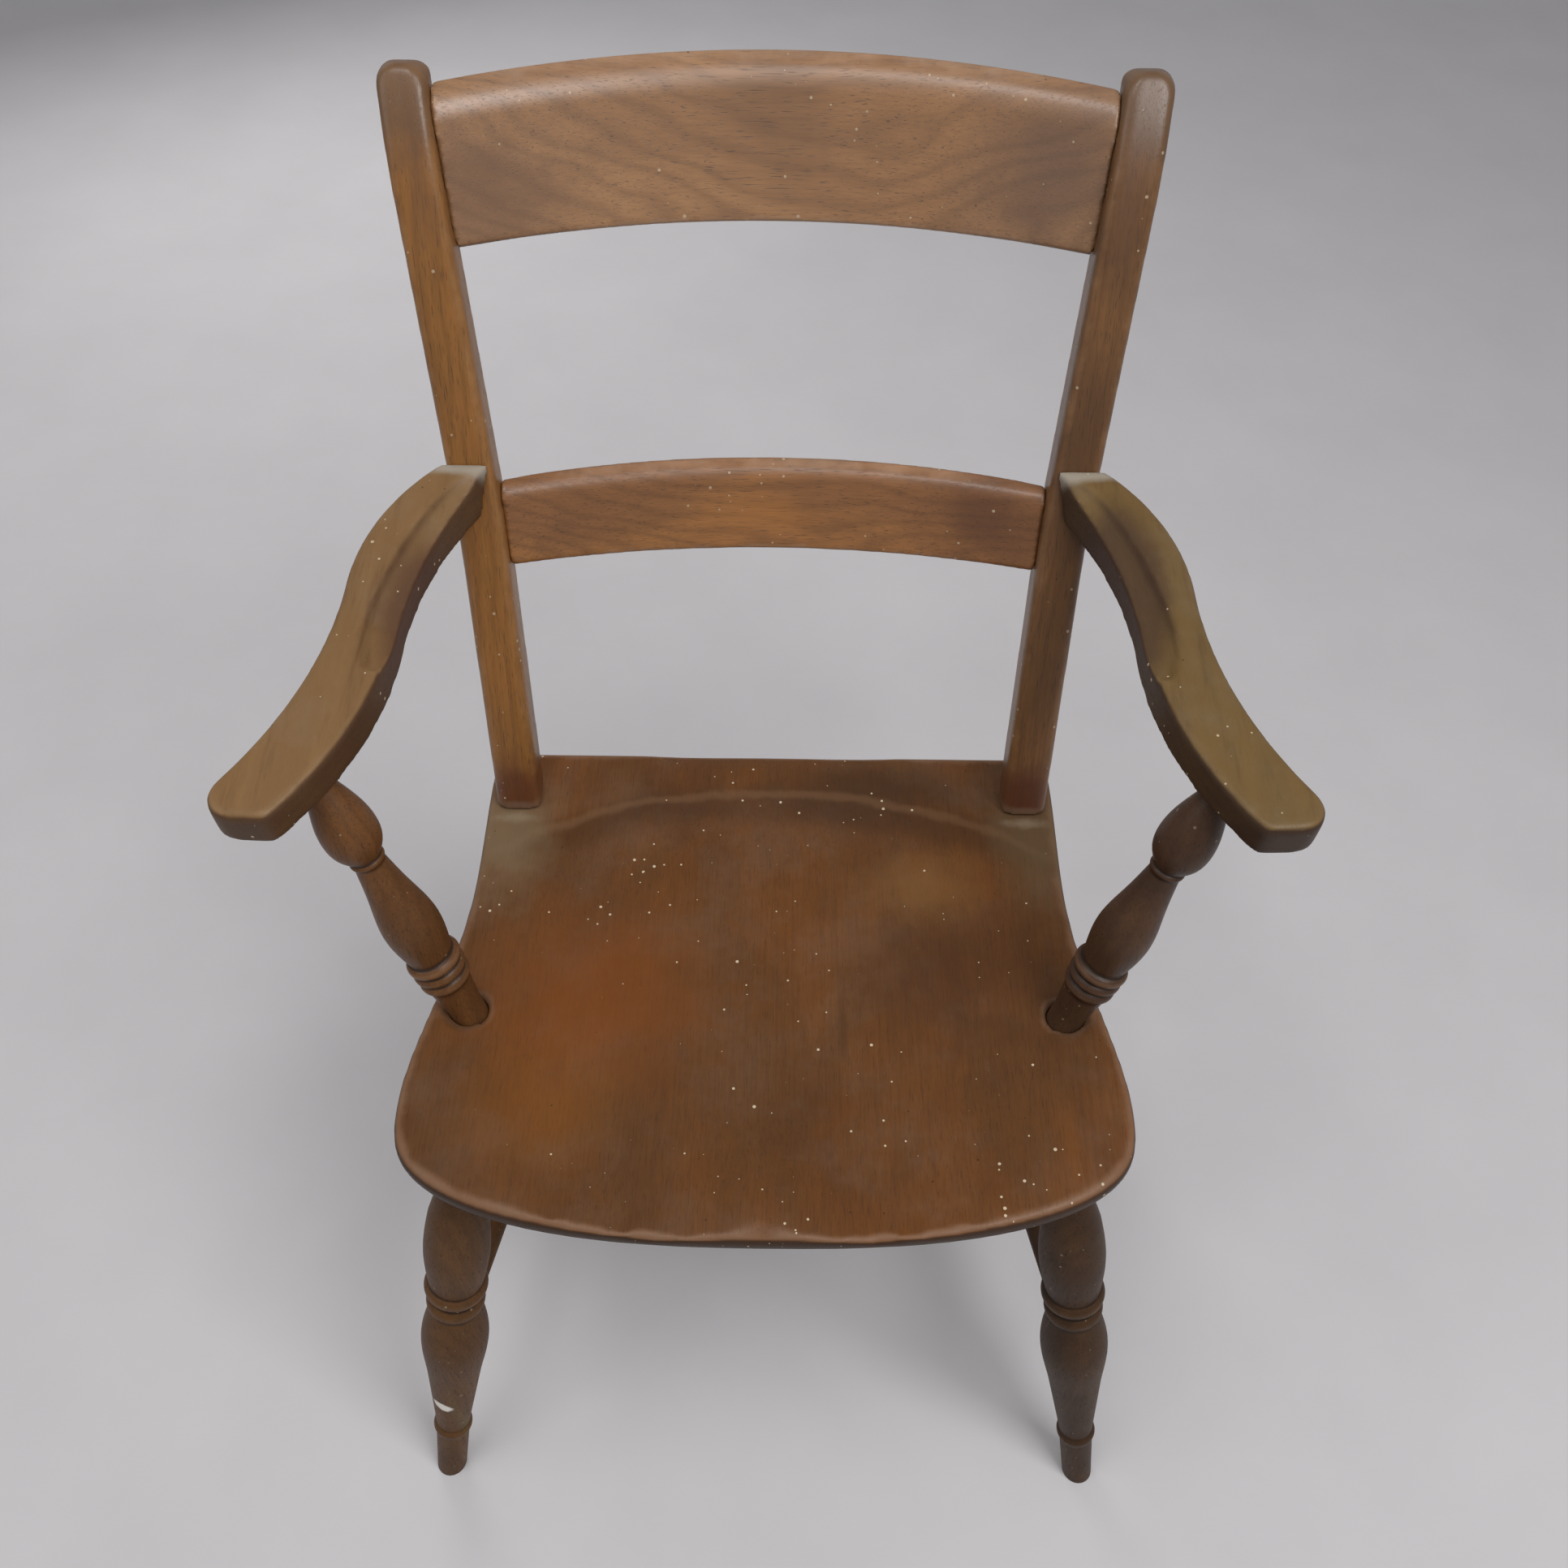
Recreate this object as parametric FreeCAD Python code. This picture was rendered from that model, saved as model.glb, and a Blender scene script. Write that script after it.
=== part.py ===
import FreeCAD, Part
import math
import os
from FreeCAD import Matrix, Placement, Rotation, Vector

# Bar-back Windsor armchair, in millimetres. +Z is up, the chair faces -Y and its right side is +X.
# The pieces are set out from the seat's widest line, at floor level, and the finished chair is then
# moved so that its origin lies on the floor under the middle of its box.

# Fits
GLUE_GAP = 0.15
HALF = 0.5

# Seat plank
SEAT_HEIGHT = 420.0
SEAT_THICKNESS = 40.0
SEAT_WIDTH = 481.0
SEAT_BACK_WIDTH = 430.0
SEAT_FRONT = 71.5
SEAT_BACK = 322.0
SEAT_BULGE = 12.0
SEAT_SIDE_SWEEP = 180.0
SEAT_FRONT_FULLNESS = 2.5
SEAT_BACK_CORNER = 16.0
SEAT_EDGE = 13.0
SEAT_UNDERCUT = 13.0
SEAT_RIM_ROUND = 6.0
SEAT_RIM_STEPS = 3
SEAT_BLANK_RISE = 20.0
SIDE_POINTS = 5
FRONT_POINTS = 6

# Saddle hollowed out of the seat's top
DISH_DEPTH = 10.0
DISH_CENTRE = 105.0
DISH_REACH_BACK = 190.0
DISH_REACH_SIDE = 214.0
DISH_LIP = 0.36
THIGH_DEPTH = 7.0
POMMEL_RISE = 8.5
POMMEL_WIDTH = 46.0
POMMEL_LENGTH = 105.0
SADDLE_MARGIN = 30.0
SADDLE_POINTS_ACROSS = 21
SADDLE_POINTS_ALONG = 12

# Back posts, measured along their own length from the seat
BACK_RAKE = 17.5
POST_FOOT_Y = 262.0
POST_LENGTH = 509.0
POST_FOOT_X = 190.5
POST_BEND_X = 197.0
POST_BEND_AT = 230.0
POST_TOP_X = 218.5
POST_FOOT_WIDTH = 33.0
POST_TOP_WIDTH = 30.0
POST_DEPTH = 29.0
POST_TOP_DEPTH = 23.0
POST_BEND_RADIUS = 900.0
POST_EDGE_RADIUS = 6.0
POST_ROLL_LENGTH = 72.0
POST_ROLL_DEPTH = 14.0
POST_SHOULDER_SPARE = 25.0
POST_SHOULDER_GAP = 0.45
POST_TENON_WIDTH = 20.0
POST_TENON_DEPTH = 17.0
POST_TENON_SETBACK = 7.0
POST_TENON_ROOT = 12.0
WEDGE_LENGTH = 26.0
WEDGE_THICKNESS = 3.0
WEDGE_POINT = 0.8

# Bowed rails between the posts, heights measured along the posts
CREST_TOP = 494.0
CREST_HEIGHT = 90.0
CREST_CROWN = 16.0
CREST_SWEEP = 11.0
CREST_BOW = 52.0
CREST_THICKNESS = 19.0
CREST_SETBACK = 4.0
CREST_ROUND = 7.0
CREST_PEGS = 2
CROSS_TOP = 253.5
CROSS_HEIGHT = 57.5
CROSS_CROWN = 8.5
CROSS_SWEEP = 4.0
CROSS_BOW = 32.0
CROSS_THICKNESS = 17.0
CROSS_SETBACK = 4.0
CROSS_ROUND = 6.0
CROSS_PEGS = 1
RAIL_EDGE_RADIUS = 2.5
RAIL_TENON_LENGTH = 15.0
RAIL_TENON_THICKNESS = 9.0
RAIL_TENON_SHOULDER = 7.0
PEG_DIAMETER = 6.0

# Arms
ARM_BACK_RISE = 262.0
ARM_FRONT_RISE = 237.0
ARM_BACK_THICKNESS = 36.0
ARM_FRONT_THICKNESS = 26.0
ARM_BACK_INNER = (193.0, 332.0)
ARM_BACK_OUTER = (221.5, 343.0)
ARM_WAIST_INSET = 14.5
ARM_WAIST_OVERHANG = 21.5
ARM_TIP_CLEARANCE = 34.0
ARM_TIP_OVERHANG = 84.5
ARM_WAIST_INNER = (SEAT_WIDTH * HALF - ARM_WAIST_INSET, 205.0)
ARM_WAIST_OUTER = (SEAT_WIDTH * HALF + ARM_WAIST_OVERHANG, 240.0)
ARM_TIP_INNER = (SEAT_WIDTH * HALF + ARM_TIP_CLEARANCE, 65.0)
ARM_TIP_OUTER = (SEAT_WIDTH * HALF + ARM_TIP_OVERHANG, 68.0)
ARM_TIP_OUTER_RADIUS = 16.0
ARM_TIP_INNER_RADIUS = 7.0
ARM_EDGE_RADIUS = 4.5
ARM_OVERRUN = 30.0
SCOOP_LENGTH = 172.0
SCOOP_WIDTH = 46.0
SCOOP_DEPTH = 24.0
SCOOP_PLACE = 0.62
SCREW_SHANK = 5.0
SCREW_LENGTH = 44.0
SCREW_OFFSET = 5.5
SCREW_HEAD = 10.0
SCREW_HEAD_THICKNESS = 3.0
SCREW_FROM_TOP = 17.0
PELLET_THICKNESS = 5.0

# Turned arm supports, places along the axis from the seat
SUPPORT_FOOT_INSET = 36.0
SUPPORT_FOOT_Y = 90.0
SUPPORT_SPLAY = 58.5
SUPPORT_HEAD_Y = 114.0
SUPPORT_TENON_DIAMETER = 17.0
SUPPORT_FOOT_DIAMETER = 24.0
SUPPORT_FOOT_STRAIGHT = 6.0
SUPPORT_SEAT_DEPTH = 22.0
SUPPORT_ARM_DEPTH = 15.0
SUPPORT_CONE_TOP = 33.0
SUPPORT_CONE_DIAMETER = 30.0
SUPPORT_RING_HEIGHT = 9.0
SUPPORT_RING_DIAMETER = 35.0
SUPPORT_RINGS = 3
SUPPORT_VASE_AT = 90.0
SUPPORT_VASE_DIAMETER = 38.0
SUPPORT_NECK_AT = 144.0
SUPPORT_NECK_DIAMETER = 21.0
SUPPORT_COLLAR_HEIGHT = 7.0
SUPPORT_COLLAR_DIAMETER = 25.0
SUPPORT_BALL_AT = 185.0
SUPPORT_BALL_DIAMETER = 39.0
SUPPORT_BALL_CHEEK = 0.87
SUPPORT_HEAD_NECK = 5.0

# Turned legs, places along the axis from the floor
LEG_FRONT_INSET = 39.5
LEG_FRONT_OVERHANG = 16.5
LEG_REAR_INSET = 63.0
LEG_REAR_FOOT_INSET = 15.0
LEG_FRONT_TOP = (SEAT_WIDTH * HALF - LEG_FRONT_INSET, -14.0)
LEG_FRONT_FOOT = (SEAT_WIDTH * HALF + LEG_FRONT_OVERHANG, -88.0)
LEG_REAR_TOP = (SEAT_BACK_WIDTH * HALF - LEG_REAR_INSET, 240.0)
LEG_REAR_FOOT = (SEAT_BACK_WIDTH * HALF - LEG_REAR_FOOT_INSET, 348.0)
LEG_TENON_DIAMETER = 27.0
LEG_TENON_DEPTH = 27.0
LEG_NECK = 9.0
LEG_HIP = 40.0
LEG_HIP_DIAMETER = 40.0
LEG_FOOT_TRIM = 8.0
LEG_FOOT_DIAMETER = 23.0
LEG_ANKLE_AT = 62.0
LEG_ANKLE_DIAMETER = 26.0
LEG_BEAD_HEIGHT = 10.0
LEG_BEAD_DIAMETER = 30.0
LEG_VASE_AT = 204.0
LEG_VASE_DIAMETER = 49.0
LEG_CALF_AT = 150.0
LEG_CALF_DIAMETER = 40.0
LEG_THROAT_AT = 241.0
LEG_THROAT_DIAMETER = 36.0
LEG_RING_HEIGHT = 14.0
LEG_LOWER_RING = 42.0
LEG_UPPER_RING = 45.0
LEG_COVE = 4.0
LEG_THIGH_AT = 312.0
LEG_THIGH_FOOT = 39.0
LEG_THIGH_DIAMETER = 46.0

# Stretchers
STRETCHER_HEIGHT = 178.0
STRETCHER_END = 16.0
STRETCHER_STRAIGHT = 22.0
STRETCHER_WAIST = 34.0
SIDE_STRETCHER_SWELL = 32.0
LEG_SOCKET_STOP = 7.0
BAR_SOCKET_STOP = 5.0
CROSS_STRETCHER_SWELL = 27.0


def smoothstep(value, low, high):
    """Soft step from 0 at low to 1 at high."""
    share = min(max((value - low) / (high - low), 0.0), 1.0)
    return share * share * (3.0 - 2.0 * share)


def spline_edge(points, leaving=None):
    """Edge of the smooth curve through the points, which leaves the first one the given way."""
    curve = Part.BSplineCurve()
    if leaving is None:
        curve.interpolate(points)
    else:
        flags = [True] + [False] * (len(points) - 1)
        curve.interpolate(Points=points, Tangents=[leaving] * len(points), TangentFlags=flags)
    return curve.toShape()


def mirrored(shape):
    """The same piece on the chair's other side."""
    return shape.mirror(Vector(0, 0, 0), Vector(1, 0, 0))


def axis_placement(start, end):
    """Placement that takes the Z axis to the line from start towards end."""
    return Placement(start, Rotation(Vector(0, 0, 1), end - start))


def lean(shape):
    """Lean a piece of the back from upright to its rake on the seat."""
    leaned = shape.copy()
    leaned.Placement = back_placement().multiply(leaned.Placement)
    return leaned


def back_placement():
    """Frame of the back: X across, Y through the posts' depth, Z along them from the seat."""
    return Placement(Vector(0, POST_FOOT_Y, SEAT_HEIGHT), Rotation(Vector(1, 0, 0), -BACK_RAKE))


def block(low, high):
    """Box between two opposite corners."""
    size = high - low
    return Part.makeBox(size.x, size.y, size.z, low)


def turned(start_diameter, steps):
    """Turning about Z from its lower end, by straight tapers, smooth swells and round beads."""
    at = Vector(start_diameter * HALF, 0, 0)
    edges = [Part.makeLine(Vector(0, 0, 0), at)]
    slope = None
    for kind, *places in steps:
        points = [Vector(diameter * HALF, 0, height) for height, diameter in places]
        if kind == "taper":
            edges.append(Part.makeLine(at, points[0]))
            slope = points[0] - at
        elif kind == "swell":
            edges.append(spline_edge([at] + points, slope))
            slope = None
        elif kind == "bead":
            edges.append(Part.Arc(at, points[0], points[1]).toShape())
            slope = None
        at = points[-1]
    top = Vector(0, 0, at.z)
    edges.append(Part.makeLine(at, top))
    edges.append(Part.makeLine(top, Vector(0, 0, 0)))
    return Part.Face(Part.Wire(edges)).revolve(Vector(0, 0, 0), Vector(0, 0, 1), 360)


def bead(foot, height, diameter, groove):
    """Turner's bead that starts and ends at the groove's diameter."""
    return ("bead", (foot + height * HALF, diameter), (foot + height, groove))


def seat_wire(inset, height):
    """Outline of the seat, drawn in by inset, at the given height."""
    wide = SEAT_WIDTH * HALF - inset
    narrow = SEAT_BACK_WIDTH * HALF - inset
    front = SEAT_FRONT + SEAT_BULGE - inset
    back = SEAT_BACK - inset
    corner = SEAT_BACK_CORNER
    side = []
    for step in range(SIDE_POINTS + 1):
        y = back - corner - (back - corner - SEAT_BULGE) * step / SIDE_POINTS
        swing = min((y - SEAT_BULGE) / SEAT_SIDE_SWEEP, 1.0) * math.pi
        side.append(Vector(narrow + (wide - narrow) * HALF * (1.0 + math.cos(swing)), y, height))
    power = 2.0 / SEAT_FRONT_FULLNESS
    for step in range(1, FRONT_POINTS + 1):
        turn = math.pi * HALF * step / FRONT_POINTS
        x = wide * max(math.cos(turn), 0.0) ** power
        side.append(Vector(x, SEAT_BULGE - front * math.sin(turn) ** power, height))
    other = [Vector(-p.x, p.y, p.z) for p in reversed(side[:-1])]
    start = side[0]
    bend = corner * (1.0 - math.sqrt(HALF))
    arcs = []
    for hand in (-1.0, 1.0):
        arcs.append((Vector(hand * start.x, start.y, height),
                     Vector(hand * (start.x - bend), back - bend, height),
                     Vector(hand * (start.x - corner), back, height)))
    left, right = arcs
    return Part.Wire([
        spline_edge(side + other),
        Part.Arc(*left).toShape(),
        Part.makeLine(left[2], right[2]),
        Part.Arc(*reversed(right)).toShape(),
    ])


def saddle_height(x, y):
    """Height of the seat's hollowed top."""
    reach = DISH_REACH_BACK if y > DISH_CENTRE else DISH_CENTRE + SEAT_FRONT * 2.0
    ring = math.hypot(x / DISH_REACH_SIDE, (y - DISH_CENTRE) / reach)
    hollow = 1.0 - smoothstep(ring, 1.0 - DISH_LIP, 1.0)
    forward = smoothstep(DISH_CENTRE - y, 0.0, DISH_CENTRE + SEAT_FRONT)
    depth = DISH_DEPTH + (THIGH_DEPTH - DISH_DEPTH) * forward
    nose = smoothstep(POMMEL_LENGTH - SEAT_FRONT - y, 0.0, POMMEL_LENGTH)
    pommel = POMMEL_RISE * nose * math.exp(-((x / POMMEL_WIDTH) ** 2))
    return SEAT_HEIGHT - depth * hollow + pommel * hollow


def saddle_cutter():
    """Everything above the hollowed top of the seat."""
    wide = SEAT_WIDTH * HALF + SADDLE_MARGIN
    near = -SEAT_FRONT - SADDLE_MARGIN
    far = SEAT_BACK + SADDLE_MARGIN
    rows = []
    for i in range(SADDLE_POINTS_ACROSS):
        x = -wide + 2.0 * wide * i / (SADDLE_POINTS_ACROSS - 1)
        row = []
        for j in range(SADDLE_POINTS_ALONG):
            y = near + (far - near) * j / (SADDLE_POINTS_ALONG - 1)
            row.append(Vector(x, y, saddle_height(x, y)))
        rows.append(row)
    surface = Part.BSplineSurface()
    surface.interpolate(rows)
    return surface.toShape().extrude(Vector(0, 0, SEAT_THICKNESS + SEAT_BLANK_RISE))


def seat_plank():
    """Seat before its sockets: undercut edge, upright edge and rounded rim, with the top hollowed."""
    edge = SEAT_HEIGHT - SEAT_EDGE
    bands = [(SEAT_UNDERCUT, SEAT_HEIGHT - SEAT_THICKNESS), (0.0, edge)]
    for step in range(SEAT_RIM_STEPS + 1):
        turn = math.pi * HALF * step / (SEAT_RIM_STEPS + 1)
        inset = SEAT_RIM_ROUND * (1.0 - math.cos(turn))
        bands.append((inset, SEAT_HEIGHT - SEAT_RIM_ROUND * (1.0 - math.sin(turn))))
    bands.append((SEAT_RIM_ROUND + SEAT_BLANK_RISE, SEAT_HEIGHT + SEAT_RIM_ROUND))
    plank = Part.makeLoft([seat_wire(inset, height) for inset, height in bands], True, True)
    return plank.cut(saddle_cutter())


def post_middle(along):
    """Distance from the chair's middle to a post's own middle, at a place along the post."""
    lower = POST_FOOT_X + (POST_BEND_X - POST_FOOT_X) * along / POST_BEND_AT
    upper = POST_BEND_X + (POST_TOP_X - POST_BEND_X) * (along - POST_BEND_AT) / (POST_LENGTH - POST_BEND_AT)
    return max(lower, upper)


def post_width(along):
    """Width of a post across the chair."""
    return POST_FOOT_WIDTH + (POST_TOP_WIDTH - POST_FOOT_WIDTH) * along / POST_LENGTH


def post_inner(along):
    """Distance from the chair's middle to a post's inner side."""
    return post_middle(along) - post_width(along) * HALF


def post_side(hand, offset=0.0):
    """Edges up one side of the upright post: straight, bent, straight. Hand -1 is the inner side."""
    corners = []
    for along in (-POST_SHOULDER_SPARE, POST_BEND_AT, POST_LENGTH):
        corners.append(Vector(post_middle(along) + hand * (post_width(along) * HALF + offset), 0, along))
    return bent_line(*corners, POST_BEND_RADIUS)


def bent_line(start, corner, end, radius):
    """Two straight edges with an arc between them in place of the corner."""
    before = (corner - start).normalize()
    after = (end - corner).normalize()
    half = before.getAngle(after) * HALF
    reach = radius * math.tan(half)
    first = corner - before * reach
    last = corner + after * reach
    middle = corner + (after - before).normalize() * (radius / math.cos(half) - radius)
    return [Part.makeLine(start, first), Part.Arc(first, middle, last).toShape(), Part.makeLine(last, end)]


def ends(edges):
    """First and last point of a chain of edges."""
    first = edges[0]
    last = edges[-1]
    return first.valueAt(first.FirstParameter), last.valueAt(last.LastParameter)


def rolled_arc(start, end):
    """Arc that leaves start straight upwards and bends to the back until it meets end."""
    away = end.y - start.y
    rise = end.z - start.z
    radius = (away * away + rise * rise) / (2.0 * away)
    swing = math.asin(rise / radius) * HALF
    middle = start + Vector(0, radius * (1.0 - math.cos(swing)), radius * math.sin(swing))
    return Part.Arc(start, middle, end).toShape()


def upright_post():
    """Right-hand post before it leans: the front outline crossed with the side outline, edges softened."""
    inner = post_side(-1.0)
    outer = post_side(1.0)
    top = Part.makeLine(ends(inner)[1], ends(outer)[1])
    bottom = Part.makeLine(ends(outer)[0], ends(inner)[0])
    front = Part.Wire(inner + [top] + list(reversed(outer)) + [bottom])
    foot = -POST_SHOULDER_SPARE
    roll = POST_LENGTH - POST_ROLL_LENGTH
    far = POST_ROLL_DEPTH + POST_TOP_DEPTH
    front_foot = Vector(0, 0, foot)
    front_roll = Vector(0, 0, roll)
    front_top = Vector(0, POST_ROLL_DEPTH, POST_LENGTH)
    back_top = Vector(0, far, POST_LENGTH)
    back_roll = Vector(0, POST_DEPTH, roll)
    back_foot = Vector(0, POST_DEPTH, foot)
    side = Part.Wire([
        Part.makeLine(front_foot, front_roll),
        rolled_arc(front_roll, front_top),
        Part.makeLine(front_top, back_top),
        rolled_arc(back_roll, back_top),
        Part.makeLine(back_roll, back_foot),
        Part.makeLine(back_foot, front_foot),
    ])
    slab = Part.Face(front).extrude(Vector(0, far + POST_DEPTH, 0))
    post = slab.common(Part.Face(side).extrude(Vector(POST_TOP_X * 2.0, 0, 0)))
    crown = [e for e in post.Edges if e.BoundBox.ZMin > POST_LENGTH - GLUE_GAP]
    upright = [e for e in post.Edges if e.BoundBox.ZLength > POST_FOOT_WIDTH]
    return post.makeFillet(POST_EDGE_RADIUS, crown + upright)


def post_tenon(gap=0.0):
    """Tenon under a post, made larger by the gap to give its mortise."""
    half = POST_TENON_WIDTH * HALF + gap
    low = Vector(POST_FOOT_X - half, POST_TENON_SETBACK - gap, -SEAT_THICKNESS * 2.0)
    high = Vector(POST_FOOT_X + half, POST_TENON_SETBACK + POST_TENON_DEPTH + gap, POST_TENON_ROOT)
    return lean(block(low, high))


def post_wedge(gap=0.0):
    """Wedge in the lower end of a post's tenon, made larger by the gap to give its slot."""
    foot = SEAT_THICKNESS / math.cos(math.radians(BACK_RAKE)) + POST_TENON_SETBACK
    thick = WEDGE_THICKNESS * HALF + gap
    thin = WEDGE_POINT * HALF + gap
    near = POST_TENON_SETBACK
    outline = Part.makePolygon([
        Vector(POST_FOOT_X - thick, near, -foot),
        Vector(POST_FOOT_X - thin, near, -foot + WEDGE_LENGTH + gap),
        Vector(POST_FOOT_X + thin, near, -foot + WEDGE_LENGTH + gap),
        Vector(POST_FOOT_X + thick, near, -foot),
        Vector(POST_FOOT_X - thick, near, -foot),
    ])
    return lean(Part.Face(outline).extrude(Vector(0, POST_TENON_DEPTH, 0)))


def slab_below(height):
    """Everything under a height."""
    wide = SEAT_WIDTH * 2.0
    return block(Vector(-wide, -wide, -wide), Vector(wide, wide, height))


class Rail:
    """Bowed board between the posts, with a tenon at each end."""

    def __init__(self, top, height, crown, sweep, bow, thickness, setback, rounding, pegs):
        self.top = top
        self.height = height
        self.crown = crown
        self.sweep = sweep
        self.bow = bow
        self.thickness = thickness
        self.setback = setback
        self.rounding = rounding
        self.pegs = pegs
        self.middle = top - height * HALF
        self.half = post_middle(self.middle)

    def depth_at(self, x):
        """Depth of the board's front face from the posts' front, at a place across it."""
        return self.setback + self.bow * (1.0 - (x / self.half) ** 2)

    def elevation(self):
        """Board seen from the front, with its top crowned and its lower edge swept up at the middle."""
        wide = Vector(self.half, 0, 0)
        high = Vector(0, 0, self.top)
        low = Vector(0, 0, self.top - self.height)
        return Part.Face(Part.Wire([
            Part.Arc(high - wide, high + Vector(0, 0, self.crown), high + wide).toShape(),
            Part.makeLine(high + wide, low + wide),
            Part.Arc(low + wide, low + Vector(0, 0, self.sweep), low - wide).toShape(),
            Part.makeLine(low - wide, high - wide),
        ]))

    def board(self):
        """Bowed board that runs on into both posts, with its long edges rounded."""
        low = self.top - self.height
        back = Vector(0, self.thickness, 0)
        front = [Vector(x, self.depth_at(x), low) for x in (-self.half, 0.0, self.half)]
        wire = Part.Wire([
            Part.Arc(*front).toShape(),
            Part.makeLine(front[2], front[2] + back),
            Part.Arc(*[p + back for p in reversed(front)]).toShape(),
            Part.makeLine(front[0] + back, front[0]),
        ])
        board = Part.Face(wire).extrude(Vector(0, 0, self.height + self.crown * 2.0))
        board = board.common(self.elevation().extrude(Vector(0, self.bow + self.thickness * 2.0, 0)))
        long = [e for e in board.Edges if e.BoundBox.XLength > self.half]
        board = board.makeFillet(self.rounding, [e for e in long if e.BoundBox.ZMin > self.middle])
        long = [e for e in board.Edges if e.BoundBox.XLength > self.half]
        return board.makeFillet(RAIL_EDGE_RADIUS, [e for e in long if e.BoundBox.ZMax < self.middle])

    def tenon(self, gap=0.0):
        """Right-hand tenon, made larger by the gap to give its mortise."""
        inner = post_inner(self.middle)
        depth = self.depth_at(inner) + self.thickness * HALF
        half = RAIL_TENON_THICKNESS * HALF + gap
        foot = self.top - self.height + RAIL_TENON_SHOULDER - gap
        low = Vector(inner - RAIL_TENON_LENGTH, depth - half, foot)
        high = Vector(inner + RAIL_TENON_LENGTH + gap, depth + half, self.top - RAIL_TENON_SHOULDER + gap)
        return block(low, high)

    def peg_pins(self, gap=0.0):
        """Right-hand peg blanks, driven from behind through the tenon, or their holes."""
        inner = post_inner(self.middle)
        across = inner + RAIL_TENON_LENGTH * HALF
        start = self.depth_at(inner) + (self.thickness - RAIL_TENON_THICKNESS) * HALF - PEG_DIAMETER
        pins = []
        for number in range(self.pegs):
            share = (number + 1.0) / (self.pegs + 1.0)
            place = Vector(across, start - gap, self.top - self.height * share)
            pins.append(Part.makeCylinder(PEG_DIAMETER * HALF + gap, POST_DEPTH, place, Vector(0, 1, 0)))
        return pins

    def solid(self):
        """Finished rail, upright."""
        inner = post_side(-1.0, GLUE_GAP)
        low, high = ends(inner)
        beyond = Vector(POST_TOP_X, 0, 0)
        outline = Part.Wire(inner + [
            Part.makeLine(high, high + beyond),
            Part.makeLine(high + beyond, low + beyond),
            Part.makeLine(low + beyond, low),
        ])
        outside = Part.Face(outline).extrude(Vector(0, self.bow + self.thickness * 2.0, 0))
        middle = self.board().cut(outside).cut(mirrored(outside))
        rail = middle.fuse([self.tenon(), mirrored(self.tenon())]).removeSplitter()
        holes = self.peg_pins(GLUE_GAP)
        return rail.cut(holes + [mirrored(h) for h in holes])


CREST = Rail(CREST_TOP, CREST_HEIGHT, CREST_CROWN, CREST_SWEEP, CREST_BOW,
             CREST_THICKNESS, CREST_SETBACK, CREST_ROUND, CREST_PEGS)
CROSS = Rail(CROSS_TOP, CROSS_HEIGHT, CROSS_CROWN, CROSS_SWEEP, CROSS_BOW,
             CROSS_THICKNESS, CROSS_SETBACK, CROSS_ROUND, CROSS_PEGS)


def screw_place():
    """Where the arm screw crosses the post's front face, in the frame of the back."""
    along = (ARM_BACK_RISE - SCREW_FROM_TOP) / math.cos(math.radians(BACK_RAKE))
    return Vector(post_middle(along) + SCREW_OFFSET, 0, along)


def arm_screw(gap=0.0):
    """Screw from behind the post into the arm's end, made larger by the gap to give its hole."""
    place = screw_place()
    head = Vector(place.x, POST_DEPTH - PELLET_THICKNESS, place.z)
    forward = Vector(0, -1, 0)
    shank = Part.makeCylinder(SCREW_SHANK * HALF + gap, SCREW_LENGTH + gap, head, forward)
    cap = Part.makeCylinder(SCREW_HEAD * HALF + gap, SCREW_HEAD_THICKNESS + gap, head, forward)
    return lean(shank.fuse(cap).removeSplitter())


def pellet(gap=0.0):
    """Wooden pellet over a screw's head, flush with the back of the post."""
    place = screw_place()
    seat = Vector(place.x, POST_DEPTH - PELLET_THICKNESS + GLUE_GAP - gap, place.z)
    return Part.makeCylinder(SCREW_HEAD * HALF + gap, POST_DEPTH, seat, Vector(0, 1, 0))


def post_pieces():
    """Right-hand post with its joints cut, and the pegs and pellet that are trimmed flush with it."""
    blank = upright_post()
    pins = CREST.peg_pins() + CROSS.peg_pins()
    pegs = [lean(pin.common(blank)) for pin in pins]
    plug = lean(pellet().common(blank))
    cuts = [rail.tenon(GLUE_GAP) for rail in (CREST, CROSS)]
    cuts += CREST.peg_pins(GLUE_GAP) + CROSS.peg_pins(GLUE_GAP) + [pellet(GLUE_GAP)]
    post = lean(blank.cut(cuts)).cut(slab_below(SEAT_HEIGHT + POST_SHOULDER_GAP))
    post = post.fuse(post_tenon()).removeSplitter().cut(slab_below(SEAT_HEIGHT - SEAT_THICKNESS))
    return post.cut([post_wedge(GLUE_GAP), arm_screw(GLUE_GAP)]), pegs, plug


def arm_face_y():
    """Where the arm's top meets the post's front face."""
    return POST_FOOT_Y + ARM_BACK_RISE * math.tan(math.radians(BACK_RAKE))


def arm_slope():
    """Angle of the arm's top to the floor, in degrees."""
    return math.degrees(math.atan2(ARM_BACK_RISE - ARM_FRONT_RISE, arm_face_y() - ARM_TIP_INNER[1]))


def set_arm(shape):
    """Raise a shape from the arm's own frame, whose top lies at zero height, to the arm's place."""
    hinge = Vector(0, ARM_TIP_INNER[1], 0)
    raised = hinge + Vector(0, 0, SEAT_HEIGHT + ARM_FRONT_RISE)
    turn = Placement(raised, Rotation(Vector(1, 0, 0), arm_slope()))
    placed = shape.copy()
    placed.Placement = turn.multiply(Placement(-hinge, Rotation())).multiply(placed.Placement)
    return placed


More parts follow.
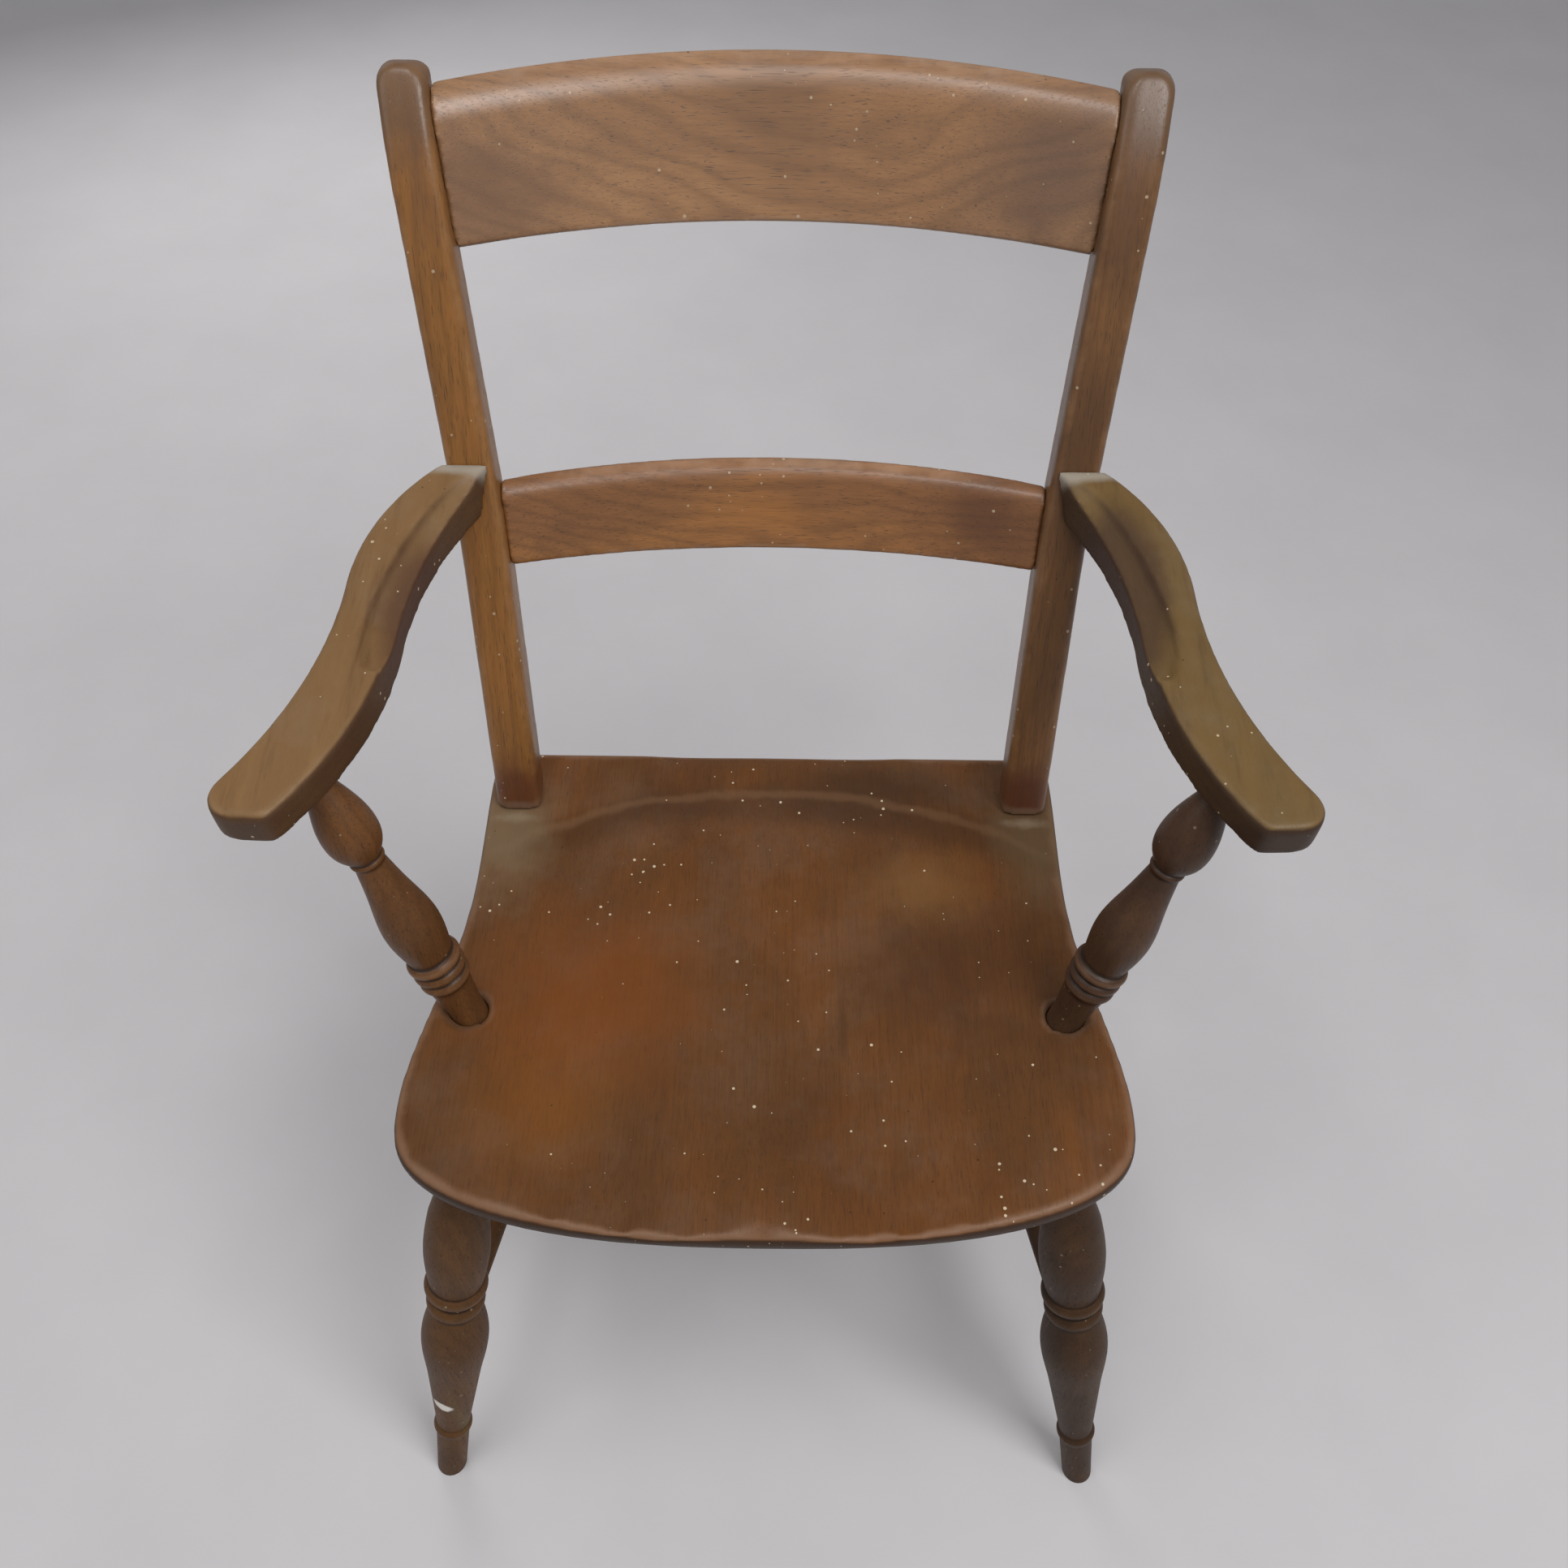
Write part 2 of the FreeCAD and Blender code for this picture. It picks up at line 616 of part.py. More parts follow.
def arm_underside(y):
    """Height of the arm's underside."""
    share = (y - ARM_TIP_INNER[1]) / (arm_face_y() - ARM_TIP_INNER[1])
    front = SEAT_HEIGHT + ARM_FRONT_RISE - ARM_FRONT_THICKNESS
    back = SEAT_HEIGHT + ARM_BACK_RISE - ARM_BACK_THICKNESS
    return front + (back - front) * share


def waisted_side(back, waist, tip):
    """One side of the arm in plan: two arcs that run straight forward where they meet at the waist."""
    edges = []
    for end in (back, tip):
        away = end[1] - waist[1]
        across = end[0] - waist[0]
        radius = (away * away + across * across) / (2.0 * across)
        swing = math.asin(away / abs(radius)) * HALF
        bow = Vector(radius * (1.0 - math.cos(swing)), abs(radius) * math.sin(swing), 0)
        start = Vector(*waist, 0)
        edges.append(Part.Arc(start, start + bow, Vector(*end, 0)).toShape())
    return edges


def beyond_post(end, waist):
    """Point where a side of the arm runs on past the post's face, straight from the side's own end."""
    away = end[1] - waist[1]
    across = end[0] - waist[0]
    turn = 2.0 * math.atan2(across, away)
    return Vector(end[0] + ARM_OVERRUN * math.sin(turn), end[1] + ARM_OVERRUN * math.cos(turn), 0)


def arm_plan():
    """Face of the right arm's outline in plan, run on into the post."""
    inner = waisted_side(ARM_BACK_INNER, ARM_WAIST_INNER, ARM_TIP_INNER)
    outer = waisted_side(ARM_BACK_OUTER, ARM_WAIST_OUTER, ARM_TIP_OUTER)
    inner_end = beyond_post(ARM_BACK_INNER, ARM_WAIST_INNER)
    outer_end = beyond_post(ARM_BACK_OUTER, ARM_WAIST_OUTER)
    corners = [
        Vector(*ARM_BACK_INNER, 0),
        inner_end,
        outer_end,
        Vector(*ARM_BACK_OUTER, 0),
    ]
    lines = [Part.makeLine(a, b) for a, b in zip(corners, corners[1:])]
    tip = Part.makeLine(Vector(*ARM_TIP_INNER, 0), Vector(*ARM_TIP_OUTER, 0))
    return Part.Face(Part.Wire(Part.__sortEdges__(inner + outer + lines + [tip])))


def arm_scoop():
    """Long hollow along the arm's inner top edge, between the post and the waist."""
    stretch = Matrix()
    stretch.scale(SCOOP_LENGTH * HALF, SCOOP_WIDTH * HALF, SCOOP_DEPTH * HALF)
    hollow = Part.makeSphere(1.0).transformGeometry(stretch)
    back = Vector(*ARM_BACK_INNER, 0)
    forward = Vector(*ARM_WAIST_INNER, 0) - back
    hollow.Placement = Placement(back + forward * SCOOP_PLACE, Rotation(Vector(1, 0, 0), forward))
    return hollow


def arm_blank():
    """Right arm in its own frame: plan outline, tapered underside, rounded tip and softened edges."""
    body = arm_plan().extrude(Vector(0, 0, -ARM_BACK_THICKNESS * 2.0))
    near = ARM_TIP_INNER[1] - ARM_OVERRUN
    far = arm_face_y() + ARM_OVERRUN * 2.0
    run = (ARM_BACK_THICKNESS - ARM_FRONT_THICKNESS) / (arm_face_y() - ARM_TIP_INNER[1])
    low = -ARM_BACK_THICKNESS * 3.0
    outline = Part.makePolygon([
        Vector(0, near, low),
        Vector(0, near, -ARM_FRONT_THICKNESS + run * ARM_OVERRUN),
        Vector(0, far, -ARM_FRONT_THICKNESS - run * (far - ARM_TIP_INNER[1])),
        Vector(0, far, low),
        Vector(0, near, low),
    ])
    body = body.cut(Part.Face(outline).extrude(Vector(SEAT_WIDTH, 0, 0)))
    for corner, radius in ((ARM_TIP_INNER, ARM_TIP_INNER_RADIUS), (ARM_TIP_OUTER, ARM_TIP_OUTER_RADIUS)):
        place = Vector(*corner, 0)
        body = body.makeFillet(radius, [e for e in body.Edges if stands_at(e, place)])
    soft = [e for e in body.Edges if e.BoundBox.YMin < ARM_WAIST_OUTER[1] + 1.0]
    upper = [e for e in soft if e.BoundBox.ZMin > -GLUE_GAP]
    body = body.makeFillet(ARM_EDGE_RADIUS, upper)
    return body.cut(arm_scoop())


def stands_at(edge, place):
    """Whether an edge runs straight up and down through a place."""
    box = edge.BoundBox
    flat = Vector(box.Center.x - place.x, box.Center.y - place.y, 0)
    return max(box.XLength, box.YLength) < GLUE_GAP and flat.Length < GLUE_GAP


def right_arm():
    """Right arm in its place, cut off at the post's front face."""
    behind = lean(block(Vector(0, -GLUE_GAP, 0), Vector(SEAT_WIDTH, SEAT_WIDTH, SEAT_WIDTH * 2.0)))
    return set_arm(arm_blank()).cut(behind)


def support_ends():
    """Foot of the right arm support on the seat's level, and its head on the arm's underside."""
    across = SEAT_WIDTH * HALF - SUPPORT_FOOT_INSET
    foot = Vector(across, SUPPORT_FOOT_Y, SEAT_HEIGHT)
    head = Vector(across + SUPPORT_SPLAY, SUPPORT_HEAD_Y, arm_underside(SUPPORT_HEAD_Y))
    return foot, head


def support_placement():
    """Place of the support's lower end, down in its socket."""
    foot, head = support_ends()
    along = (head - foot).normalize()
    return axis_placement(foot - along * SUPPORT_SEAT_DEPTH, head)


def arm_support():
    """Right arm support: foot, cone, ring group, vase, neck with a collar, and a pear under the arm."""
    foot, head = support_ends()
    base = SUPPORT_SEAT_DEPTH
    top = base + (head - foot).Length
    steps = [("taper", (base + SUPPORT_FOOT_STRAIGHT, SUPPORT_FOOT_DIAMETER)),
             ("taper", (base + SUPPORT_CONE_TOP, SUPPORT_CONE_DIAMETER))]
    at = base + SUPPORT_CONE_TOP
    for number in range(SUPPORT_RINGS):
        steps.append(bead(at, SUPPORT_RING_HEIGHT, SUPPORT_RING_DIAMETER + number, SUPPORT_CONE_DIAMETER))
        at += SUPPORT_RING_HEIGHT
    neck = base + SUPPORT_NECK_AT
    vase = base + SUPPORT_VASE_AT
    steps.append(("swell", (vase, SUPPORT_VASE_DIAMETER),
                  ((vase + neck) * HALF, (SUPPORT_VASE_DIAMETER + SUPPORT_NECK_DIAMETER) * HALF),
                  (neck, SUPPORT_NECK_DIAMETER)))
    steps.append(bead(neck, SUPPORT_COLLAR_HEIGHT, SUPPORT_COLLAR_DIAMETER, SUPPORT_NECK_DIAMETER))
    ball = base + SUPPORT_BALL_AT
    cheek = SUPPORT_BALL_DIAMETER * SUPPORT_BALL_CHEEK
    steps.append(("swell", ((neck + SUPPORT_COLLAR_HEIGHT + ball) * HALF, cheek),
                  (ball, SUPPORT_BALL_DIAMETER),
                  ((ball + top) * HALF, cheek),
                  (top - SUPPORT_HEAD_NECK, SUPPORT_TENON_DIAMETER)))
    steps.append(("taper", (top + SUPPORT_ARM_DEPTH, SUPPORT_TENON_DIAMETER)))
    return turned(SUPPORT_FOOT_DIAMETER, steps)


def socket(bottom, along, diameter, depth):
    """Round blind socket for a tenon of the given diameter, from under its end out along its axis."""
    start = bottom - along * GLUE_GAP
    return Part.makeCylinder(diameter * HALF + GLUE_GAP, depth * 2.0, start, along)


def support_sockets():
    """Sockets for the right support: one in the seat, one in the arm."""
    foot, head = support_ends()
    along = (head - foot).normalize()
    in_seat = socket(foot - along * SUPPORT_SEAT_DEPTH, along, SUPPORT_FOOT_DIAMETER, SUPPORT_SEAT_DEPTH)
    in_arm = socket(head + along * SUPPORT_ARM_DEPTH, -along, SUPPORT_TENON_DIAMETER, SUPPORT_ARM_DEPTH)
    return in_seat, in_arm


class Leg:
    """Turned leg on the chair's right side, from a place on the floor to its socket in the seat."""

    def __init__(self, top, foot):
        self.foot = Vector(foot[0], foot[1], 0)
        self.head = Vector(top[0], top[1], SEAT_HEIGHT - SEAT_THICKNESS)
        self.along = (self.head - self.foot).normalize()
        self.length = (self.head - self.foot).Length

    def at_height(self, height):
        """Point of the axis at a height above the floor."""
        return self.foot + (self.head - self.foot) * (height / self.head.z)

    def solid(self):
        """Leg from its foot, cut level with the floor, to the tenon in the seat."""
        trim = LEG_FOOT_TRIM
        rings = LEG_THROAT_AT + trim
        upper = rings + LEG_RING_HEIGHT + LEG_COVE
        neck = trim + self.length - LEG_NECK
        ankle = LEG_ANKLE_AT + trim
        calf = (LEG_CALF_AT + trim, LEG_CALF_DIAMETER)
        vase = (LEG_VASE_AT + trim, LEG_VASE_DIAMETER)
        thigh = (LEG_THIGH_AT + trim, LEG_THIGH_DIAMETER)
        hip = (neck - LEG_HIP + LEG_NECK, LEG_HIP_DIAMETER)
        steps = [
            ("taper", (ankle, LEG_ANKLE_DIAMETER)),
            bead(ankle, LEG_BEAD_HEIGHT, LEG_BEAD_DIAMETER, LEG_ANKLE_DIAMETER),
            ("taper", calf),
            ("swell", vase, (rings, LEG_THROAT_DIAMETER)),
            bead(rings, LEG_RING_HEIGHT, LEG_LOWER_RING, LEG_THROAT_DIAMETER),
            ("taper", (upper, LEG_THROAT_DIAMETER)),
            bead(upper, LEG_RING_HEIGHT, LEG_UPPER_RING, LEG_THIGH_FOOT),
            ("swell", thigh, hip),
            ("taper", (neck, LEG_TENON_DIAMETER)),
            ("taper", (trim + self.length + LEG_TENON_DEPTH, LEG_TENON_DIAMETER)),
        ]
        leg = turned(LEG_FOOT_DIAMETER, steps)
        leg.Placement = axis_placement(self.foot - self.along * trim, self.head)
        return leg.cut(slab_below(0.0))

    def socket(self):
        """Blind socket in the seat."""
        end = self.head + self.along * LEG_TENON_DEPTH
        return socket(end, -self.along, LEG_TENON_DIAMETER, LEG_TENON_DEPTH)


FRONT_LEG = Leg(LEG_FRONT_TOP, LEG_FRONT_FOOT)
REAR_LEG = Leg(LEG_REAR_TOP, LEG_REAR_FOOT)


def stretcher(start, end, stop, swell):
    """Turned bar between two axes, held back from each by the stop, and its two sockets."""
    along = (end - start).normalize()
    first = start + along * stop
    last = end - along * stop
    length = (last - first).Length
    bar = turned(STRETCHER_END, [
        ("taper", (STRETCHER_STRAIGHT, STRETCHER_END)),
        ("taper", ((length - STRETCHER_WAIST) * HALF, swell)),
        ("taper", ((length + STRETCHER_WAIST) * HALF, swell)),
        ("taper", (length - STRETCHER_STRAIGHT, STRETCHER_END)),
        ("taper", (length, STRETCHER_END)),
    ])
    bar.Placement = axis_placement(first, end)
    sockets = [
        socket(first, along, STRETCHER_END, STRETCHER_STRAIGHT),
        socket(last, -along, STRETCHER_END, STRETCHER_STRAIGHT),
    ]
    return bar, sockets


def build_chair():
    """Every piece in place, by node name."""
    post, pegs, plug = post_pieces()
    in_seat, in_arm = support_sockets()
    arm = right_arm().cut([in_arm, arm_screw(GLUE_GAP)])
    support = arm_support()
    support.Placement = support_placement()

    front_point = FRONT_LEG.at_height(STRETCHER_HEIGHT)
    rear_point = REAR_LEG.at_height(STRETCHER_HEIGHT)
    side_bar, side_sockets = stretcher(front_point, rear_point, LEG_SOCKET_STOP, SIDE_STRETCHER_SWELL)
    front_socket, rear_socket = side_sockets
    middle = (front_point + rear_point) * HALF
    far_middle = Vector(-middle.x, middle.y, middle.z)
    cross_bar, cross_sockets = stretcher(far_middle, middle, BAR_SOCKET_STOP, CROSS_STRETCHER_SWELL)
    right_socket = cross_sockets[1]
    side_bar = side_bar.cut(right_socket)
    front_leg = FRONT_LEG.solid().cut(front_socket)
    rear_leg = REAR_LEG.solid().cut(rear_socket)

    cuts = [in_seat, FRONT_LEG.socket(), REAR_LEG.socket(), post_tenon(GLUE_GAP)]
    seat = seat_plank().cut(cuts + [mirrored(c) for c in cuts])
    wedge = post_wedge().cut(slab_below(SEAT_HEIGHT - SEAT_THICKNESS))

    chair = {
        "seat": seat,
        "crest_rail": lean(CREST.solid()),
        "cross_rail": lean(CROSS.solid()),
        "cross_stretcher": cross_bar,
    }
    pairs = {
        "post": post,
        "arm": arm,
        "arm_support": support,
        "leg_front": front_leg,
        "leg_rear": rear_leg,
        "side_stretcher": side_bar,
    }
    for name, shape in pairs.items():
        chair[name + "_right"] = shape
        chair[name + "_left"] = mirrored(shape)
    groups = {"rail_pegs": pegs, "screw_pellets": [plug], "arm_screws": [arm_screw()], "post_wedges": [wedge]}
    for name, shapes in groups.items():
        chair[name] = Part.makeCompound(shapes + [mirrored(s) for s in shapes])
    return chair


def main():
    """Centre the chair over its origin and write each node to its own file."""
    chair = build_chair()
    box = Part.makeCompound(list(chair.values())).optimalBoundingBox(False)
    shift = Vector(-(box.XMin + box.XMax) * HALF, -(box.YMin + box.YMax) * HALF, -box.ZMin)
    sizes = (box.XLength, box.YLength, box.ZLength, shift.y)
    print("chair %.1f x %.1f x %.1f mm, moved by %.3f along Y" % sizes)
    os.makedirs("parts", exist_ok=True)
    for name, shape in chair.items():
        shape.translate(shift)
        shape.exportStep("parts/%s.step" % name)


main()
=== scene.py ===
"""Finishes, light and camera for a bar-back Windsor armchair in worn brown wood."""

import logging
import math
from dataclasses import dataclass, replace
from enum import Enum
from typing import Any, ClassVar, Optional, Sequence, Union

import bmesh
import bpy
import numpy as np
from mathutils import Matrix, Vector


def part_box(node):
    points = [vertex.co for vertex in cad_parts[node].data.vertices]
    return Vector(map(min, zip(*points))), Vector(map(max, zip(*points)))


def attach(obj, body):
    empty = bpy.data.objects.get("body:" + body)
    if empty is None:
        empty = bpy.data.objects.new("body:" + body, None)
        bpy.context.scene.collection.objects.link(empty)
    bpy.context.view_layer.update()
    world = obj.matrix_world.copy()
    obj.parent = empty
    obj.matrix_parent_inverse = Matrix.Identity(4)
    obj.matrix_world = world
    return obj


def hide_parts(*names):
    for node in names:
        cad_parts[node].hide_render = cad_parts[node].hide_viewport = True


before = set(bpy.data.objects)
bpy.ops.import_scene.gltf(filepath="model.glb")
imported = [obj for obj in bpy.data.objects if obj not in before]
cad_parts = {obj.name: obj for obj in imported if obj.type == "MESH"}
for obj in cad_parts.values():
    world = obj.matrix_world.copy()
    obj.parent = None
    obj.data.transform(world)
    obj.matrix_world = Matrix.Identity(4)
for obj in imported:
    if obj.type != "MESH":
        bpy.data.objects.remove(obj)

log = logging.getLogger("armchair")

# A distance along a turned piece with the diameter there, or a place on a plane.
Place = tuple[float, float]
Point = tuple[float, float, float]

MM = 0.001
ROOT = "root"
RELIEF = "relief"
SKYWARD = "skyward"
SIDES = (("left", -1.0), ("right", 1.0))

# Distance in metres within which corners are welded, and how far a round of smoothing goes.
WELD = 0.00001
SOFTENING = 0.5

# Repeats of the patterns in a metre. Where there are three numbers, the first is along the fibres.
STREAKS = (16.0, 620.0, 620.0)
PORES = (85.0, 1500.0, 1500.0)
RING_SWAY = (6.0, 17.0, 17.0)
TOP_STREAKS = (5.0, 60.0, 60.0)
TOP_STAINS = (9.0, 110.0, 110.0)
WEAR_PATCHES = 55.0
HAZE = 14.0
DENTS = 130.0
SPECKS = 140.0
SPECK_CROWDS = 11.0


def linear(tone: str) -> tuple[float, float, float, float]:
    """Colour written as six hex digits, as the linear values that shaders use.

    Args:
        tone: The colour as it looks on screen, such as "65442b".

    Returns:
        Linear red, green, blue and a full alpha.
    """
    shares = [int(tone[i:i + 2], 16) / 255.0 for i in (0, 2, 4)]
    values = [s / 12.92 if s <= 0.04045 else ((s + 0.055) / 1.055) ** 2.4 for s in shares]
    return (values[0], values[1], values[2], 1.0)


class Grain(Enum):
    """Which way the wood's fibres run in a piece."""

    ACROSS = (1.0, 0.0, 0.0)
    FORWARD = (0.0, 1.0, 0.0)
    UPRIGHT = (0.0, 0.0, 1.0)
    LEANING = (0.0, 0.301, 0.954)

    def turn(self) -> Point:
        """Turn that lays the fibres along X, as Euler angles."""
        return tuple(Vector(self.value).rotation_difference(Vector((1.0, 0.0, 0.0))).to_euler())


class Sock:
    """Socket of a shader that takes part in sums and products."""

    def __init__(self, sheet: "Sheet", socket: bpy.types.NodeSocket) -> None:
        """Keep the sheet that the socket's node is on."""
        self.sheet = sheet
        self.socket = socket

    def _math(self, operation: str, first: "Value", second: "Value") -> "Sock":
        """Add one Math node."""
        return self.sheet.add("ShaderNodeMath", {"operation": operation}, {0: first, 1: second})

    def __add__(self, other: "Value") -> "Sock":
        """Sum of two values."""
        return self._math("ADD", self, other)

    def __radd__(self, other: "Value") -> "Sock":
        """Sum, with the number first."""
        return self._math("ADD", other, self)

    def __sub__(self, other: "Value") -> "Sock":
        """Difference of two values."""
        return self._math("SUBTRACT", self, other)

    def __rsub__(self, other: "Value") -> "Sock":
        """Difference, with the number first."""
        return self._math("SUBTRACT", other, self)

    def __mul__(self, other: "Value") -> "Sock":
        """Product of two values."""
        return self._math("MULTIPLY", self, other)

    def __rmul__(self, other: "Value") -> "Sock":
        """Product, with the number first."""
        return self._math("MULTIPLY", other, self)

    def __pow__(self, other: "Value") -> "Sock":
        """One value to the power of another."""
        return self._math("POWER", self, other)


Value = Union[Sock, float, int]


class Sheet:
    """Node sheet of one material."""

    def __init__(self, name: str) -> None:
        """Start a material with an output and a Principled shader.

        Args:
            name: The material's name.
        """
        self.material = bpy.data.materials.new(name)
        self.material.use_nodes = True
        self.tree = self.material.node_tree
        self.tree.nodes.clear()
        output = self.tree.nodes.new("ShaderNodeOutputMaterial")
        self.shader = self.tree.nodes.new("ShaderNodeBsdfPrincipled")
        self.tree.links.new(self.shader.outputs[0], output.inputs["Surface"])

    @staticmethod
    def find(sockets: Any, key: Union[str, int]) -> bpy.types.NodeSocket:
        """Socket by its place, identifier or name.

        Args:
            sockets: A node's inputs or outputs.
            key: The place, identifier or name.

        Returns:
            The socket.
        """
        if isinstance(key, int):
            return sockets[key]
        for socket in sockets:
            if socket.identifier == key:
                return socket
        return sockets[key]

    def put(self, socket: bpy.types.NodeSocket, value: Any) -> None:
        """Link a socket to a Sock, or set its own value.

        Args:
            socket: An input of a node.
            value: The Sock or the value.
        """
        if isinstance(value, Sock):
            self.tree.links.new(value.socket, socket)
        else:
            socket.default_value = value

    def add(self, kind: str, settings: Optional[dict] = None, inputs: Optional[dict] = None,
            out: Union[str, int] = 0) -> Sock:
        """Add any node.

        Args:
            kind: The node's type.
            settings: What is set on the node itself, before its sockets.
            inputs: Values or links of its sockets, by place, identifier or name.
            out: The output that is wanted.

        Returns:
            That output.
        """
        node = self.tree.nodes.new(kind)
        for key, value in (settings or {}).items():
            setattr(node, key, value)
        for key, value in (inputs or {}).items():
            self.put(self.find(node.inputs, key), value)
        return Sock(self, self.find(node.outputs, out))

    def feed(self, **inputs: Any) -> None:
        """Set or link the shader's sockets, with underscores for the blanks in their names."""
        for key, value in inputs.items():
            self.put(self.shader.inputs[key.replace("_", " ")], value)

    def mix(self, share: Value, first: Any, second: Any) -> Sock:
        """Mix of two colours.

        Args:
            share: How much of the second colour.
            first: Colour under it.
            second: Colour over it.

        Returns:
            The mixed colour.
        """
        settings = {"data_type": "RGBA", "clamp_factor": True}
        inputs = {"Factor_Float": share, "A_Color": first, "B_Color": second}
        return self.add("ShaderNodeMix", settings, inputs, "Result_Color")

    def step(self, value: Value, low: float, high: float) -> Sock:
        """Soft step from 0 at low to 1 at high."""
        inputs = {"Value": value, "From Min": low, "From Max": high}
        return self.add("ShaderNodeMapRange", {"interpolation_type": "SMOOTHSTEP"}, inputs)

    def vector(self, operation: str, first: Any, second: Any, out: Union[str, int] = 0) -> Sock:
        """Vector Math node."""
        return self.add("ShaderNodeVectorMath", {"operation": operation}, {0: first, 1: second}, out)

    def noise(self, place: Sock, scale: Union[float, Point], detail: float, rough: float,
              warp: float = 0.0) -> Sock:
        """Noise over a place.

        Args:
            place: The point.
            scale: Repeats in a metre, the same for all axes or one for each.
            detail: How many finer layers it has.
            rough: Strength of the finer layers.
            warp: How far it is warped.

        Returns:
            The noise, from 0 to 1.
        """
        scales = scale if isinstance(scale, tuple) else (scale,) * 3
        spots = self.vector("MULTIPLY", place, scales)
        inputs = {"Vector": spots, "Scale": 1.0, "Detail": detail, "Roughness": rough, "Distortion": warp}
        return self.add("ShaderNodeTexNoise", None, inputs, "Fac")


@dataclass(frozen=True)
class Mark:
    """Soft-edged patch of another colour at a place on the chair, in metres."""

    tone: str
    centre: Point
    reach: Point
    strength: float = 1.0
    core: float = 0.3
    ragged: float = 0.5
    scale: float = 60.0
    dull: float = 0.0
    ring: float = 0.0
    behind: Optional[float] = None
    fade: float = 0.06

    def mirrored(self) -> "Mark":
        """The same mark on the chair's other side."""
        x, y, z = self.centre
        return replace(self, centre=(-x, y, z))

    def mask(self, sheet: Sheet, place: Sock) -> Sock:
        """Where the mark lies.

        Args:
            sheet: The material's sheet.
            place: The point in the chair's frame.

        Returns:
            0 outside, up to the strength inside.
        """
        away = sheet.vector("SUBTRACT", place, self.centre)
        away = sheet.vector("DIVIDE", away, self.reach)
        distance = sheet.vector("LENGTH", away, (0.0, 0.0, 0.0), "Value")
        distance = distance + (sheet.noise(place, self.scale, 3.0, 0.6) - 0.5) * self.ragged
        if self.ring:
            off = sheet.add("ShaderNodeMath", {"operation": "ABSOLUTE"}, {0: distance - 1.0})
            distance = off * (1.0 / self.ring)
        mask = (1.0 - sheet.step(distance, self.core, 1.0)) * self.strength
        if self.behind is not None:
            y = sheet.add("ShaderNodeSeparateXYZ", None, {"Vector": place}, "Y")
            mask = mask * sheet.step(y, self.behind, self.behind + self.fade)
        return mask


def on_side(marks: Sequence[Mark], hand: float) -> list[Mark]:
    """Marks that are set out on the right, on the side that is wanted."""
    return [mark if hand > 0 else mark.mirrored() for mark in marks]


